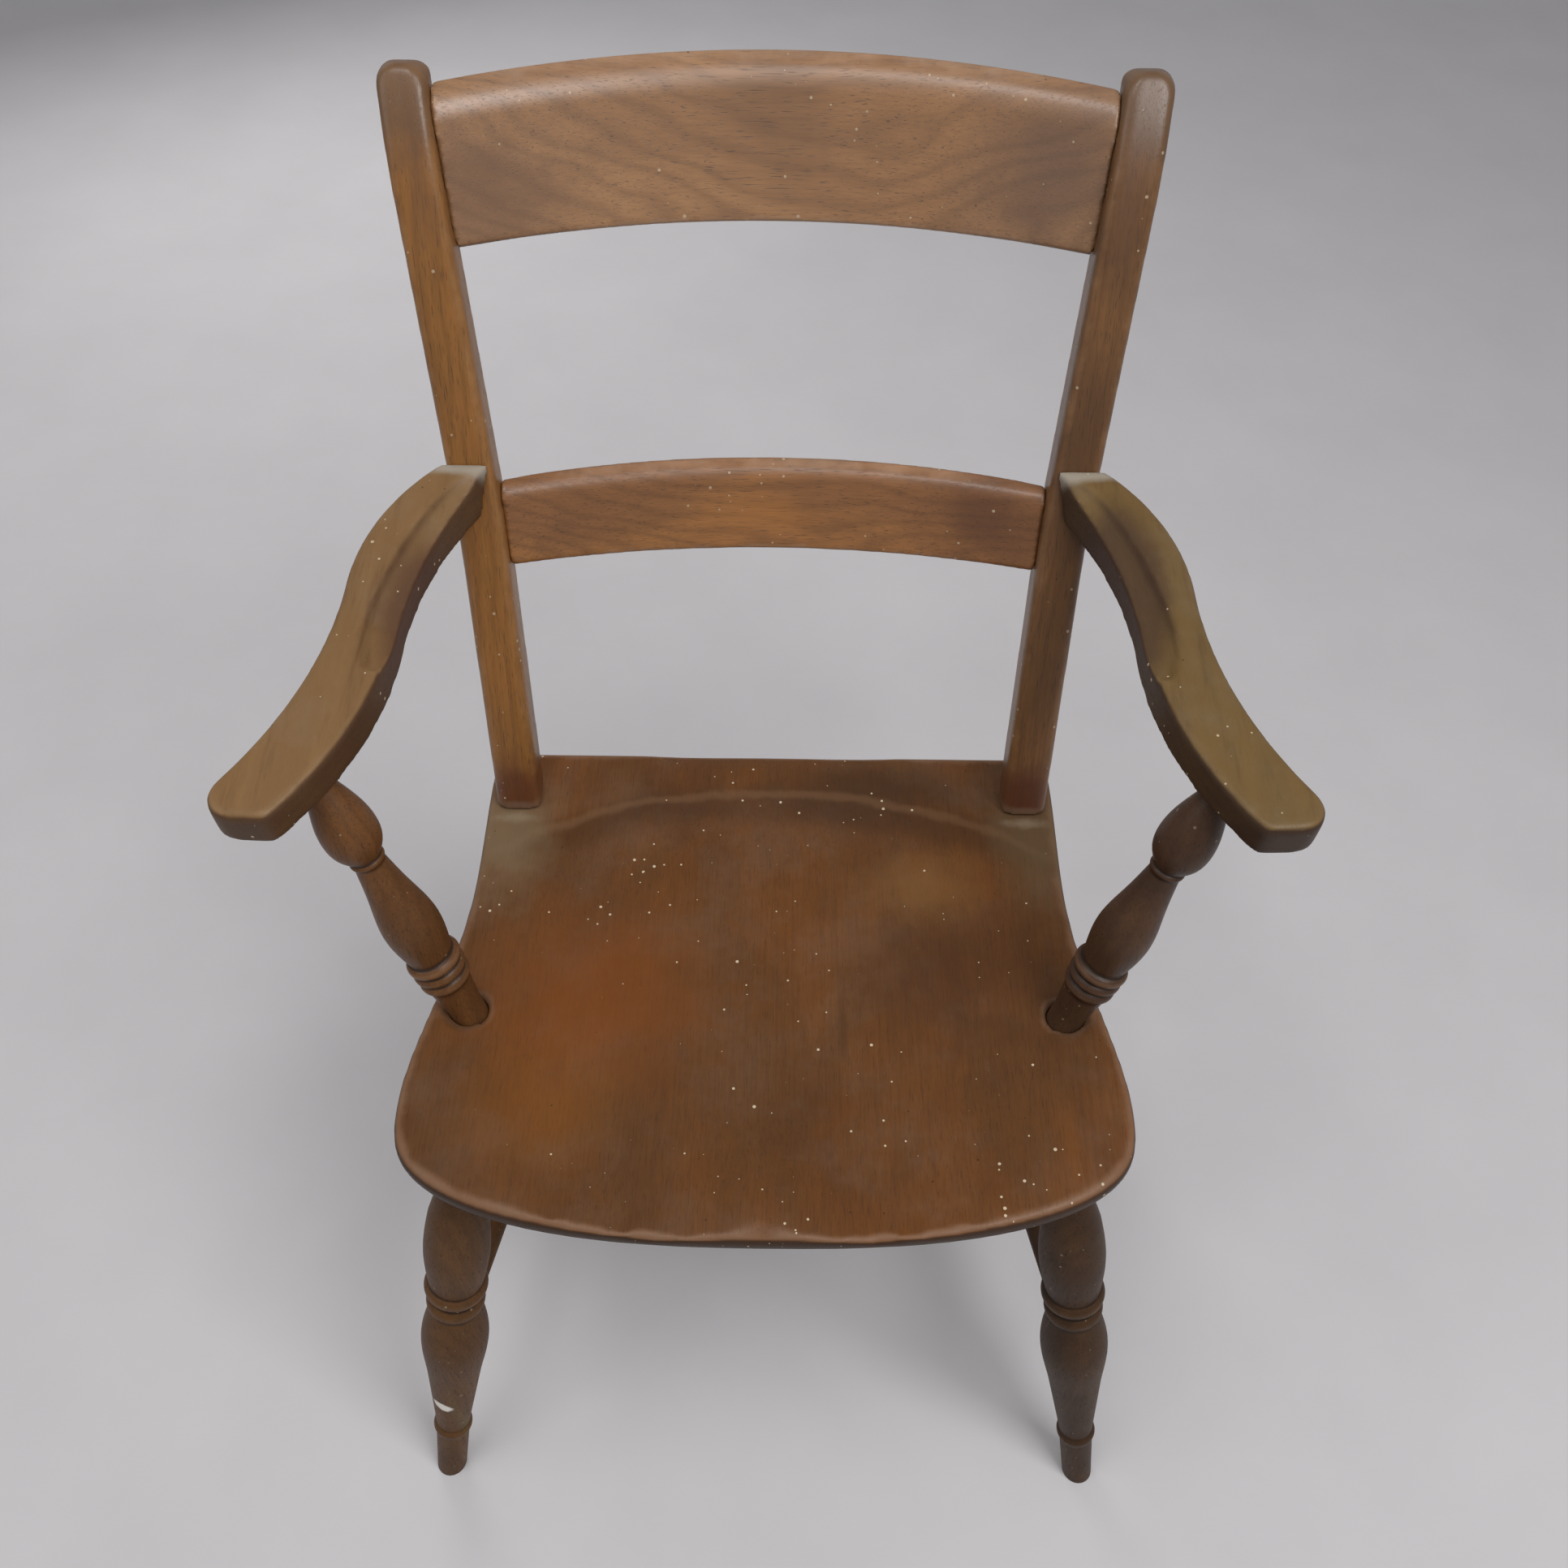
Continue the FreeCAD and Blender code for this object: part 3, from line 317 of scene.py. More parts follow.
@dataclass(frozen=True)
class WoodFinish:
    """Old polish on brown wood: its tones, figure, wear and gloss, with painted shade on upright faces and
    undersides and partly painted light on upward faces.
    """

    name: str
    main: str
    light: str
    dark: str
    worn: str
    # Dark tone of dirt in pores, pits and hollows, also laid on undersides as painted shade.
    grime_and_shade: str
    # Lighter tone of upward faces, partly dust and wear and partly painted light from above, and how much of
    # it.
    top: str = "80603e"
    top_light_and_dust_share: float = 0.0
    # Painted shade: a darker tone laid on faces that stand upright, and how much of it.
    side: str = "3a281d"
    side_shade_share: float = 0.0
    dust: str = "8d8478"
    dusty: float = 0.12
    light_share: float = 0.75
    dark_share: float = 0.55
    ring: float = 0.35
    ring_width: float = 0.010
    pith: Place = (0.05, 0.08)
    blotch: float = 9.0
    pores: float = 0.55
    specks: float = 0.5
    worn_share: float = 0.6
    rough: float = 0.42
    gloss: float = 0.4
    coat: float = 0.10
    coat_rough: float = 0.32
    streaks: float = 0.35
    # Share of painted shade on faces that point down.
    underside_shade_share: float = 0.45
    sunk_share: float = 0.85
    speck: str = "c8b89c"
    bump: float = 0.28
    bump_depth: float = 0.0006

    def make(self, grain: Grain, marks: Sequence[Mark] = (), tag: str = "") -> bpy.types.Material:
        """Make the material.

        Args:
            grain: Which way the fibres run.
            marks: Patches painted over the wood.
            tag: Added to the finish's name.

        Returns:
            The material.
        """
        sheet = Sheet(self.name + tag)
        place = sheet.add("ShaderNodeTexCoord", None, None, "Object")
        fibre = sheet.add("ShaderNodeMapping", None, {"Vector": place, "Rotation": grain.turn()})
        colour = self.figure(sheet, fibre)
        streak = sheet.noise(fibre, STREAKS, 3.0, 0.65)
        pore = sheet.step(sheet.noise(fibre, PORES, 1.0, 0.5), 0.60, 0.72)
        colour = sheet.mix(sheet.step(streak, 0.35, 0.75) * self.streaks, colour, linear(self.dark))
        colour = sheet.mix(pore * self.pores, colour, linear(self.grime_and_shade))

        sky = sheet.add("ShaderNodeAttribute", {"attribute_name": SKYWARD}, None, "Fac")
        upper = sheet.step(sky, 0.25, 0.8)
        shaded_flank = 1.0 - sheet.step(sky, 0.30, 0.82)
        under = 1.0 - sheet.step(sky, -0.75, -0.2)
        # Upward faces take the lighter top tone: partly dust and wear, partly painted light from above.
        colour = sheet.mix(upper * self.top_light_and_dust_share, colour, self.tops(sheet, fibre))
        # Painted shade on faces that stand upright.
        colour = sheet.mix(shaded_flank * self.side_shade_share, colour, linear(self.side))
        # Painted shade on faces that point down, in the dark dirt tone.
        colour = sheet.mix(under * self.underside_shade_share, colour, linear(self.grime_and_shade))
        relief = sheet.add("ShaderNodeAttribute", {"attribute_name": RELIEF}, None, "Fac")
        ragged = sheet.noise(place, WEAR_PATCHES, 4.0, 0.6) - 0.5
        worn = sheet.step(relief + ragged * 0.8, 0.30, 1.0)
        # Where upright faces get painted shade, wear shows only on faces that point up.
        if self.side_shade_share:
            worn = worn * sheet.step(sky, 0.40, 0.80)
        sunk = sheet.step(ragged * 0.6 - relief, 0.15, 0.9)
        colour = sheet.mix(worn * self.worn_share, colour, linear(self.worn))
        colour = sheet.mix(sunk * self.sunk_share, colour, linear(self.grime_and_shade))

        haze = sheet.noise(place, HAZE, 5.0, 0.7)
        film = sheet.step(haze, 0.42, 0.72) * upper * self.dusty
        colour = sheet.mix(film, colour, linear(self.dust))
        dull: Value = film * 0.6
        for mark in marks:
            mask = mark.mask(sheet, place)
            colour = sheet.mix(mask, colour, linear(mark.tone))
            dull = dull + mask * mark.dull
        colour = self.flecks(sheet, place, colour)

        rough = streak * 0.14 + (self.rough - 0.07) + dull * 0.3 - worn * 0.05 + pore * 0.15
        dents = sheet.noise(place, DENTS, 3.0, 0.55)
        height = streak * 0.35 - pore * 0.8 + dents * 0.5
        inputs = {"Strength": self.bump, "Distance": self.bump_depth, "Height": height}
        bump = sheet.add("ShaderNodeBump", None, inputs, "Normal")
        sheet.feed(Base_Color=colour, Roughness=rough, Specular_IOR_Level=self.gloss, Coat_Weight=self.coat,
                   Coat_Roughness=self.coat_rough, Normal=bump)
        return sheet.material

    def figure(self, sheet: Sheet, fibre: Sock) -> Sock:
        """Broad tones and growth rings.

        Args:
            sheet: The material's sheet.
            fibre: The point with the fibres along X.

        Returns:
            The colour so far.
        """
        spread = self.blotch
        patch = sheet.noise(fibre, (spread * 0.6, spread, spread), 4.0, 0.6, 0.4)
        pale = sheet.step(patch, 0.40, 0.68) * self.light_share
        colour = sheet.mix(pale, linear(self.main), linear(self.light))
        moved = sheet.vector("ADD", fibre, (3.1, 1.7, 4.3))
        shade = sheet.noise(moved, (spread * 0.8, spread * 1.3, spread * 1.3), 4.0, 0.6, 0.3)
        colour = sheet.mix(sheet.step(shade, 0.45, 0.75) * self.dark_share, colour, linear(self.dark))
        sway = (sheet.noise(fibre, RING_SWAY, 2.0, 0.5) - 0.5) * 0.045
        along = sheet.add("ShaderNodeSeparateXYZ", None, {"Vector": fibre}, "X")
        drift = sheet.add("ShaderNodeCombineXYZ", None, {"Y": along * 0.07, "Z": along * 0.03})
        heart = sheet.vector("MULTIPLY", sheet.vector("ADD", fibre, drift), (0.0, 1.0, 1.0))
        heart = sheet.vector("SUBTRACT", heart, (0.0, self.pith[0], self.pith[1]))
        away = sheet.vector("LENGTH", heart, (0.0, 0.0, 0.0), "Value") + sway
        turns = away * (2.0 * math.pi / self.ring_width)
        wave = sheet.add("ShaderNodeMath", {"operation": "SINE"}, {0: turns})
        band = (wave * 0.5 + 0.5) ** 2.5
        return sheet.mix(band * self.ring, colour, linear(self.dark))

    def tops(self, sheet: Sheet, fibre: Sock) -> Sock:
        """Streaky lighter tone of upward faces, partly dust and handling and partly painted light from
        above.

        Args:
            sheet: The material's sheet.
            fibre: The point with the fibres along X.

        Returns:
            The tone.
        """
        streak = sheet.step(sheet.noise(fibre, TOP_STREAKS, 3.0, 0.6), 0.35, 0.7)
        colour = sheet.mix(streak * 0.7, linear(self.top), linear(self.light))
        stain = sheet.step(sheet.noise(fibre, TOP_STAINS, 4.0, 0.65), 0.50, 0.80)
        return sheet.mix(stain * 0.6, colour, linear(self.main))

    def flecks(self, sheet: Sheet, place: Sock, colour: Sock) -> Sock:
        """Scattered pale specks and dark pits.

        Args:
            sheet: The material's sheet.
            place: The point in the chair's frame.
            colour: The colour under them.

        Returns:
            The colour with specks and pits.
        """
        spots = sheet.vector("MULTIPLY", place, (SPECKS,) * 3)
        crowd = sheet.step(sheet.noise(place, SPECK_CROWDS, 2.0, 0.5), 0.34, 0.60)
        inputs = {"Vector": spots, "Scale": 1.0, "Randomness": 1.0}
        distance = sheet.add("ShaderNodeTexVoronoi", None, inputs, "Distance")
        chance = sheet.add("ShaderNodeTexVoronoi", None, inputs, "Color")
        size = sheet.add("ShaderNodeSeparateColor", None, {"Color": chance}, "Red")
        grown = sheet.step(size, 0.25, 1.0) * crowd * 0.17
        dot = 1.0 - sheet.step(distance - grown, -0.03, 0.01)
        pit = sheet.add("ShaderNodeSeparateColor", None, {"Color": chance}, "Green")
        hole = 1.0 - sheet.step(distance - sheet.step(pit, 0.80, 1.0) * 0.11, -0.03, 0.02)
        colour = sheet.mix(hole * 0.7, colour, linear(self.grime_and_shade))
        return sheet.mix(dot * self.specks, colour, linear(self.speck))


@dataclass(frozen=True)
class SteelFinish:
    """Plain steel of the hidden screws."""

    name: str = "screw_steel"
    tone: str = "8a8782"
    shade: str = "5c564e"
    lines: Point = (900.0, 90.0, 900.0)

    def make(self) -> bpy.types.Material:
        """Make the material, with faint turning lines.

        Returns:
            The material.
        """
        sheet = Sheet(self.name)
        place = sheet.add("ShaderNodeTexCoord", None, None, "Object")
        lines = sheet.noise(place, self.lines, 2.0, 0.5)
        colour = sheet.mix(lines, linear(self.tone), linear(self.shade))
        sheet.feed(Base_Color=colour, Metallic=1.0, Roughness=lines * 0.2 + 0.3)
        return sheet.material


def as_piece(name: str, mesh: bpy.types.Mesh) -> bpy.types.Object:
    """Put a mesh in the scene.

    Args:
        name: The piece's name.
        mesh: Its mesh, already in place.

    Returns:
        The object, at the origin.
    """
    piece = bpy.data.objects.new(name, mesh)
    bpy.context.scene.collection.objects.link(piece)
    return piece


def flatten(piece: bpy.types.Object) -> bpy.types.Object:
    """Put a plain mesh in the place of an object with modifiers.

    Args:
        piece: The object, which is removed.

    Returns:
        A new object of the same name.
    """
    graph = bpy.context.evaluated_depsgraph_get()
    graph.update()
    mesh = bpy.data.meshes.new_from_object(piece.evaluated_get(graph))
    name = piece.name
    mesh.name = name
    bpy.data.objects.remove(piece)
    return as_piece(name, mesh)


def store(mesh: bpy.types.Mesh, name: str, values: np.ndarray) -> None:
    """Keep one number for each vertex, for the finish."""
    layer = mesh.attributes.new(name, "FLOAT", "POINT")
    layer.data.foreach_set("value", values.astype(np.float32))


def corners(mesh: bpy.types.Mesh) -> tuple[np.ndarray, np.ndarray]:
    """Places and normals of a mesh's vertices.

    Args:
        mesh: The mesh.

    Returns:
        Two arrays with a row of three numbers for each vertex.
    """
    count = len(mesh.vertices)
    places = np.empty(count * 3)
    mesh.vertices.foreach_get("co", places)
    normals = np.empty(count * 3)
    mesh.vertex_normals.foreach_get("vector", normals)
    return places.reshape(-1, 3), normals.reshape(-1, 3)


def move(mesh: bpy.types.Mesh, places: np.ndarray) -> None:
    """Move a mesh's vertices to new places."""
    mesh.vertices.foreach_set("co", places.ravel())
    mesh.update()


def quarter(below: np.ndarray, radius: float) -> np.ndarray:
    """Quarter circle at an edge.

    Args:
        below: Depths below the edge.
        radius: Radius of the circle.

    Returns:
        How far the circle lies inside at each depth, as a share of the radius.
    """
    lack = np.clip(1.0 - below / radius, 0.0, 1.0)
    return 1.0 - np.sqrt(1.0 - lack ** 2)


def measure_relief(mesh: bpy.types.Mesh, quiet: float, rounds: int = 14, scale: float = 0.0011,
                   fade: float = 0.04) -> None:
    """Measure the relief of an evenly meshed piece against its own smoothed shape.

    Args:
        mesh: The mesh, which gets the attribute.
        quiet: Distance from the chair's middle beyond which there is none, in metres.
        rounds: Rounds of smoothing.
        scale: Height that counts as fully proud, in metres.
        fade: Distance over which it fades out towards quiet, in metres.
    """
    places, normals = corners(mesh)
    count = len(places)
    pairs = np.empty(len(mesh.edges) * 2, dtype=np.int64)
    mesh.edges.foreach_get("vertices", pairs)
    pairs = pairs.reshape(-1, 2)
    degree = np.maximum(np.bincount(pairs.ravel(), minlength=count), 1)
    smooth = places.copy()
    for _ in range(rounds):
        total = np.zeros_like(smooth)
        for axis in range(3):
            total[:, axis] += np.bincount(pairs[:, 0], smooth[pairs[:, 1], axis], count)
            total[:, axis] += np.bincount(pairs[:, 1], smooth[pairs[:, 0], axis], count)
        smooth = 0.5 * smooth + 0.5 * total / degree[:, None]
    proud = np.einsum("ij,ij->i", places - smooth, normals)
    proud *= np.clip((quiet - np.abs(places[:, 0])) / fade, 0.0, 1.0)
    store(mesh, RELIEF, proud / scale)
    store(mesh, SKYWARD, normals[:, 2])


def roll_top(mesh: bpy.types.Mesh, radius: float, thick: float, share: float = 0.75) -> None:
    """Fair a bowed rail's front face, and round the front of its top edge well over.

    Args:
        mesh: The rail's mesh.
        radius: Height of the rounding, in metres.
        thick: Thickness of the rail, in metres.
        share: How far the edge goes back, as a share of the radius.
    """
    # Lengths in metres, and how squarely a normal has to face the front or the top.
    end_part = 0.05
    crown_depth = 0.005
    margin = 0.0005
    facing = 0.8
    places, normals = corners(mesh)
    x, y, z = places.T
    between = np.abs(x) < np.abs(x).max() - end_part
    face = np.column_stack([np.ones_like(x), z, x ** 2, x ** 4])
    front = between & (normals[:, 1] < -facing)
    flat = face @ np.linalg.lstsq(face[front], y[front], rcond=None)[0]
    arch = np.column_stack([np.ones_like(x), x ** 2, x ** 4])
    crown = between & (normals[:, 2] > facing)
    below = arch @ np.linalg.lstsq(arch[crown], z[crown], rcond=None)[0] - z
    board = np.abs(x) < np.abs(x[below < crown_depth]).max() + margin
    y = np.where(board, np.maximum(y, flat), y)
    depth = np.clip((y - flat) / thick, 0.0, 1.0)
    places[:, 1] = y + radius * quarter(below, radius) * board * (1.0 - depth) * share
    move(mesh, places)


def round_top(mesh: bpy.types.Mesh, radius: float) -> None:
    """Round the upper corners of a post, as seen from the front.

    Args:
        mesh: The post's mesh.
        radius: Radius of the corners, in metres.
    """
    places, _ = corners(mesh)
    below = places[:, 2].max() - places[:, 2]
    tip_depth = radius * 1.5
    tip = places[below < tip_depth, 0]
    middle = 0.5 * (tip.min() + tip.max())
    half = 0.5 * (tip.max() - tip.min())
    inward = radius / half * quarter(below, radius)
    places[:, 0] = middle + (places[:, 0] - middle) * (1.0 - inward)
    move(mesh, places)


def worn_copy(node: str, voxel: float, soften: int, quiet: float = 1.0) -> bpy.types.Object:
    """Evenly meshed copy of a CAD piece with its corners softened, as handling leaves them.

    Args:
        node: The CAD node.
        voxel: Size of the mesh, in metres.
        soften: Rounds of smoothing.
        quiet: Distance from the chair's middle beyond which no wear shows, in metres.

    Returns:
        The piece, which replaces the node.
    """
    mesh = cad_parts[node].data.copy()
    mesh.materials.clear()
    piece = as_piece(node + "_worn", mesh)
    weld = piece.modifiers.new("weld", "WELD")
    weld.merge_threshold = WELD
    remesh = piece.modifiers.new("even", "REMESH")
    remesh.mode = "VOXEL"
    remesh.voxel_size = voxel
    remesh.use_smooth_shade = True
    smooth = piece.modifiers.new("soften", "SMOOTH")
    smooth.factor = SOFTENING
    smooth.iterations = soften
    piece = flatten(piece)
    measure_relief(piece.data, quiet)
    return piece


def dress(piece: bpy.types.Object, material: bpy.types.Material, node: str) -> None:
    """Give a finished piece its material and body, and hide the CAD node that it replaces.

    Args:
        piece: The piece.
        material: Its material.
        node: The CAD node it replaces.
    """
    piece.data.materials.clear()
    piece.data.materials.append(material)
    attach(piece, ROOT)
    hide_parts(node)
    log.info("%s: %d faces", piece.name, len(piece.data.polygons))


def dress_node(node: str, material: bpy.types.Material) -> None:
    """Give a CAD node that stays as it is its material.

    Args:
        node: The node.
        material: Its material.
    """
    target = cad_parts[node]
    target.data.materials.clear()
    target.data.materials.append(material)
    log.info("%s: kept from the frame", node)


class Cut(Enum):
    """Kinds of cut that a turner makes along a piece."""

    TAPER = "taper"
    SWELL = "swell"
    BEAD = "bead"


class Turning:
    """Outline of a turned piece, from its lower end, in millimetres."""

    taper_step: float = 4.0
    curve_step: float = 2.5
    least_steps: int = 3
    bead_points: int = 13
    to_radius: np.ndarray = np.array([1.0, 0.5])

    def __init__(self, diameter: float) -> None:
        """Start at the lower end.

        Args:
            diameter: Diameter there.
        """
        self.points: list[Place] = [(0.0, diameter)]
        self.slope: Optional[np.ndarray] = None

    def cut(self, kind: Cut, *places: Place) -> "Turning":
        """Carry the outline on.

        Args:
            kind: The kind of cut.
            places: Distances along the piece, with the diameters there.

        Returns:
            The same outline.
        """
        start = self.points[-1]
        line = np.array([start, *places])
        if kind is Cut.TAPER:
            self.slope = line[-1] - line[-2]
            steps = max(int(abs(line[-1][0] - start[0]) / self.taper_step), 1)
            shares = np.arange(1, steps + 1) / steps
            self.points += [tuple(start + (line[-1] - line[0]) * s) for s in shares]
        elif kind is Cut.BEAD:
            self.points += self.arc(line)
            self.slope = None
        else:
            self.points += self.curve(line, self.slope)
            self.slope = None
        return self

    def bead(self, height: float, diameter: float, groove: float) -> "Turning":
        """Round bead that ends at the groove's diameter."""
        foot = self.points[-1][0]
        return self.cut(Cut.BEAD, (foot + height * 0.5, diameter), (foot + height, groove))

    @classmethod
    def arc(cls, line: np.ndarray) -> list[Place]:
        """Arc through three places.

        Args:
            line: The places, with diameters.

        Returns:
            Points of the arc without the first place.
        """
        flat = line * cls.to_radius
        (ax, ay), (bx, by), (cx, cy) = flat
        scale = 2.0 * (ax * (by - cy) + bx * (cy - ay) + cx * (ay - by))
        squares = (flat ** 2).sum(axis=1)
        x = (squares * np.array([by - cy, cy - ay, ay - by])).sum() / scale
        y = (squares * np.array([cx - bx, ax - cx, bx - ax])).sum() / scale
        radius = math.hypot(ax - x, ay - y)
        first = math.atan2(ay - y, ax - x)
        last = math.atan2(cy - y, cx - x)
        turns = np.linspace(first, last, cls.bead_points)[1:]
        return [(x + radius * math.cos(t), 2.0 * (y + radius * math.sin(t))) for t in turns]

    @classmethod
    def curve(cls, line: np.ndarray, leaving: Optional[np.ndarray]) -> list[Place]:
        """Smooth curve through places.

        Args:
            line: The places, with diameters.
            leaving: The way in which it leaves the first place, or None for a free start.

        Returns:
            Points of the curve without the first place.
        """
        lengths = np.hypot(*np.diff(line * cls.to_radius, axis=0).T)
        count = len(line)
        system = np.zeros((count, count))
        right = np.zeros((count, 2))
        for i in range(1, count - 1):
            system[i, i - 1:i + 2] = (lengths[i], 2.0 * (lengths[i - 1] + lengths[i]), lengths[i - 1])
            before = (line[i] - line[i - 1]) * lengths[i] / lengths[i - 1]
            after = (line[i + 1] - line[i]) * lengths[i - 1] / lengths[i]
            right[i] = 3.0 * (before + after)
        system[0, :2] = (2.0, 1.0)
        right[0] = 3.0 * (line[1] - line[0]) / lengths[0]
        if leaving is not None:
            system[0, :2] = (1.0, 0.0)
            right[0] = leaving / np.hypot(*(leaving * cls.to_radius))
        system[-1, -2:] = (1.0, 2.0)
        right[-1] = 3.0 * (line[-1] - line[-2]) / lengths[-1]
        slopes = np.linalg.solve(system, right)
        points: list[Place] = []
        for i, length in enumerate(lengths):
            steps = max(int(length / cls.curve_step), cls.least_steps)
            for s in np.arange(1, steps + 1) / steps:
                a = (1.0 + 2.0 * s) * (1.0 - s) ** 2 * line[i] + s * s * (3.0 - 2.0 * s) * line[i + 1]
                b = s * (1.0 - s) ** 2 * slopes[i] + s * s * (s - 1.0) * slopes[i + 1]
                points.append(tuple(a + b * length))
        return points


class Lathe:
    """Geometry Nodes tree that turns an outline carried by an axis into a solid."""

    # How relief is measured along an outline, in millimetres and in steps.
    grid_step: float = 0.5
    window_steps: int = 24
    window_spread: float = 3.6
    full_relief: float = 1.3

    def __init__(self, sides: int = 56) -> None:
        """Build the tree.

        Args:
            sides: Faces around the piece.
        """
        tree = bpy.data.node_groups.new("lathe", "GeometryNodeTree")
        panel = tree.interface
        panel.new_socket("Axis", in_out="INPUT", socket_type="NodeSocketGeometry")
        sides_socket = panel.new_socket("Sides", in_out="INPUT", socket_type="NodeSocketInt")
        finish_socket = panel.new_socket("Finish", in_out="INPUT", socket_type="NodeSocketMaterial")
        panel.new_socket("Piece", in_out="OUTPUT", socket_type="NodeSocketGeometry")
        nodes = tree.nodes
        links = tree.links
        start = nodes.new("NodeGroupInput")
        end = nodes.new("NodeGroupOutput")
        circle = nodes.new("GeometryNodeCurvePrimitiveCircle")
        circle.inputs["Radius"].default_value = 1.0
        links.new(start.outputs["Sides"], circle.inputs["Resolution"])
        sweep = nodes.new("GeometryNodeCurveToMesh")
        sweep.inputs["Fill Caps"].default_value = True
        links.new(start.outputs["Axis"], sweep.inputs["Curve"])
        links.new(circle.outputs["Curve"], sweep.inputs["Profile Curve"])
        # Without this input the sweep takes the axis's own radius.
        if "Scale" in sweep.inputs:
            radius = nodes.new("GeometryNodeInputRadius")
            links.new(radius.outputs[0], sweep.inputs["Scale"])
        smooth = nodes.new("GeometryNodeSetShadeSmooth")
        real = nodes.new("GeometryNodeRealizeInstances")
        coat = nodes.new("GeometryNodeSetMaterial")
        links.new(sweep.outputs["Mesh"], smooth.inputs["Geometry"])
        links.new(smooth.outputs["Geometry"], real.inputs["Geometry"])
        links.new(real.outputs["Geometry"], coat.inputs["Geometry"])
        links.new(start.outputs["Finish"], coat.inputs["Material"])
        links.new(coat.outputs["Geometry"], end.inputs["Piece"])
        self.tree = tree
        self.sides = sides_socket.identifier
        self.finish = finish_socket.identifier
        self.count = sides

    def turn(self, name: str, outline: Turning, low: Vector, high: Vector,
             material: bpy.types.Material) -> bpy.types.Object:
        """Turn one piece.

        Args:
            name: The piece's name.
            outline: Its outline.
            low: Its lower end, in metres.
            high: A point that its axis runs towards.
            material: Its finish.

        Returns:
            The piece as a plain mesh.
        """
        way = (high - low).normalized()
        line = bpy.data.curves.new(name, "CURVE")
        line.dimensions = "3D"
        spline = line.splines.new("POLY")
        spline.points.add(len(outline.points) - 1)
        for point, (along, diameter) in zip(spline.points, outline.points):
            point.co = (*(low + way * along * MM), 1.0)
            point.radius = diameter * 0.5 * MM
        axis = bpy.data.objects.new(name, line)
        bpy.context.scene.collection.objects.link(axis)
        lathe = axis.modifiers.new("lathe", "NODES")
        lathe.node_group = self.tree
        lathe[self.sides] = self.count
        lathe[self.finish] = material
        piece = flatten(axis)
        self.level(piece.data)
        self.relief(piece.data, outline, low, way)
        return piece

    @staticmethod
    def level(mesh: bpy.types.Mesh) -> None:
        """Saw off what reaches below the floor, and close the cut.

        Args:
            mesh: The turned mesh, which is changed.
        """
        shape = bmesh.new()
        shape.from_mesh(mesh)
        if min(v.co.z for v in shape.verts) < 0.0:
            everything = shape.verts[:] + shape.edges[:] + shape.faces[:]
            cut = bmesh.ops.bisect_plane(shape, geom=everything, plane_co=(0, 0, 0), plane_no=(0, 0, 1),
                                         clear_inner=True)
            rim = [e for e in cut["geom_cut"] if isinstance(e, bmesh.types.BMEdge)]
            bmesh.ops.contextual_create(shape, geom=rim)
            bmesh.ops.recalc_face_normals(shape, faces=shape.faces)
            shape.to_mesh(mesh)
        shape.free()

    def relief(self, mesh: bpy.types.Mesh, outline: Turning, low: Vector, way: Vector) -> None:
        """Mark beads as proud and grooves as sunk.

        Args:
            mesh: The turned mesh, which gets the attribute.
            outline: Its outline.
            low: Its lower end.
            way: Direction of its axis.
        """
        points = np.array(outline.points)
        grid = np.arange(0.0, points[-1, 0] + self.grid_step, self.grid_step)
        radius = np.interp(grid, points[:, 0], points[:, 1] * 0.5)
        reach = np.arange(-self.window_steps, self.window_steps + 1) * self.grid_step
        window = np.exp(-0.5 * (reach / self.window_spread) ** 2)
        padded = np.pad(radius, len(reach) // 2, mode="edge")
        proud = radius - np.convolve(padded, window / window.sum(), "valid")
        places, normals = corners(mesh)
        along = (places - np.array(low)) @ np.array(way) / MM
        store(mesh, RELIEF, np.interp(along, grid, proud) / self.full_relief)
        store(mesh, SKYWARD, normals[:, 2])


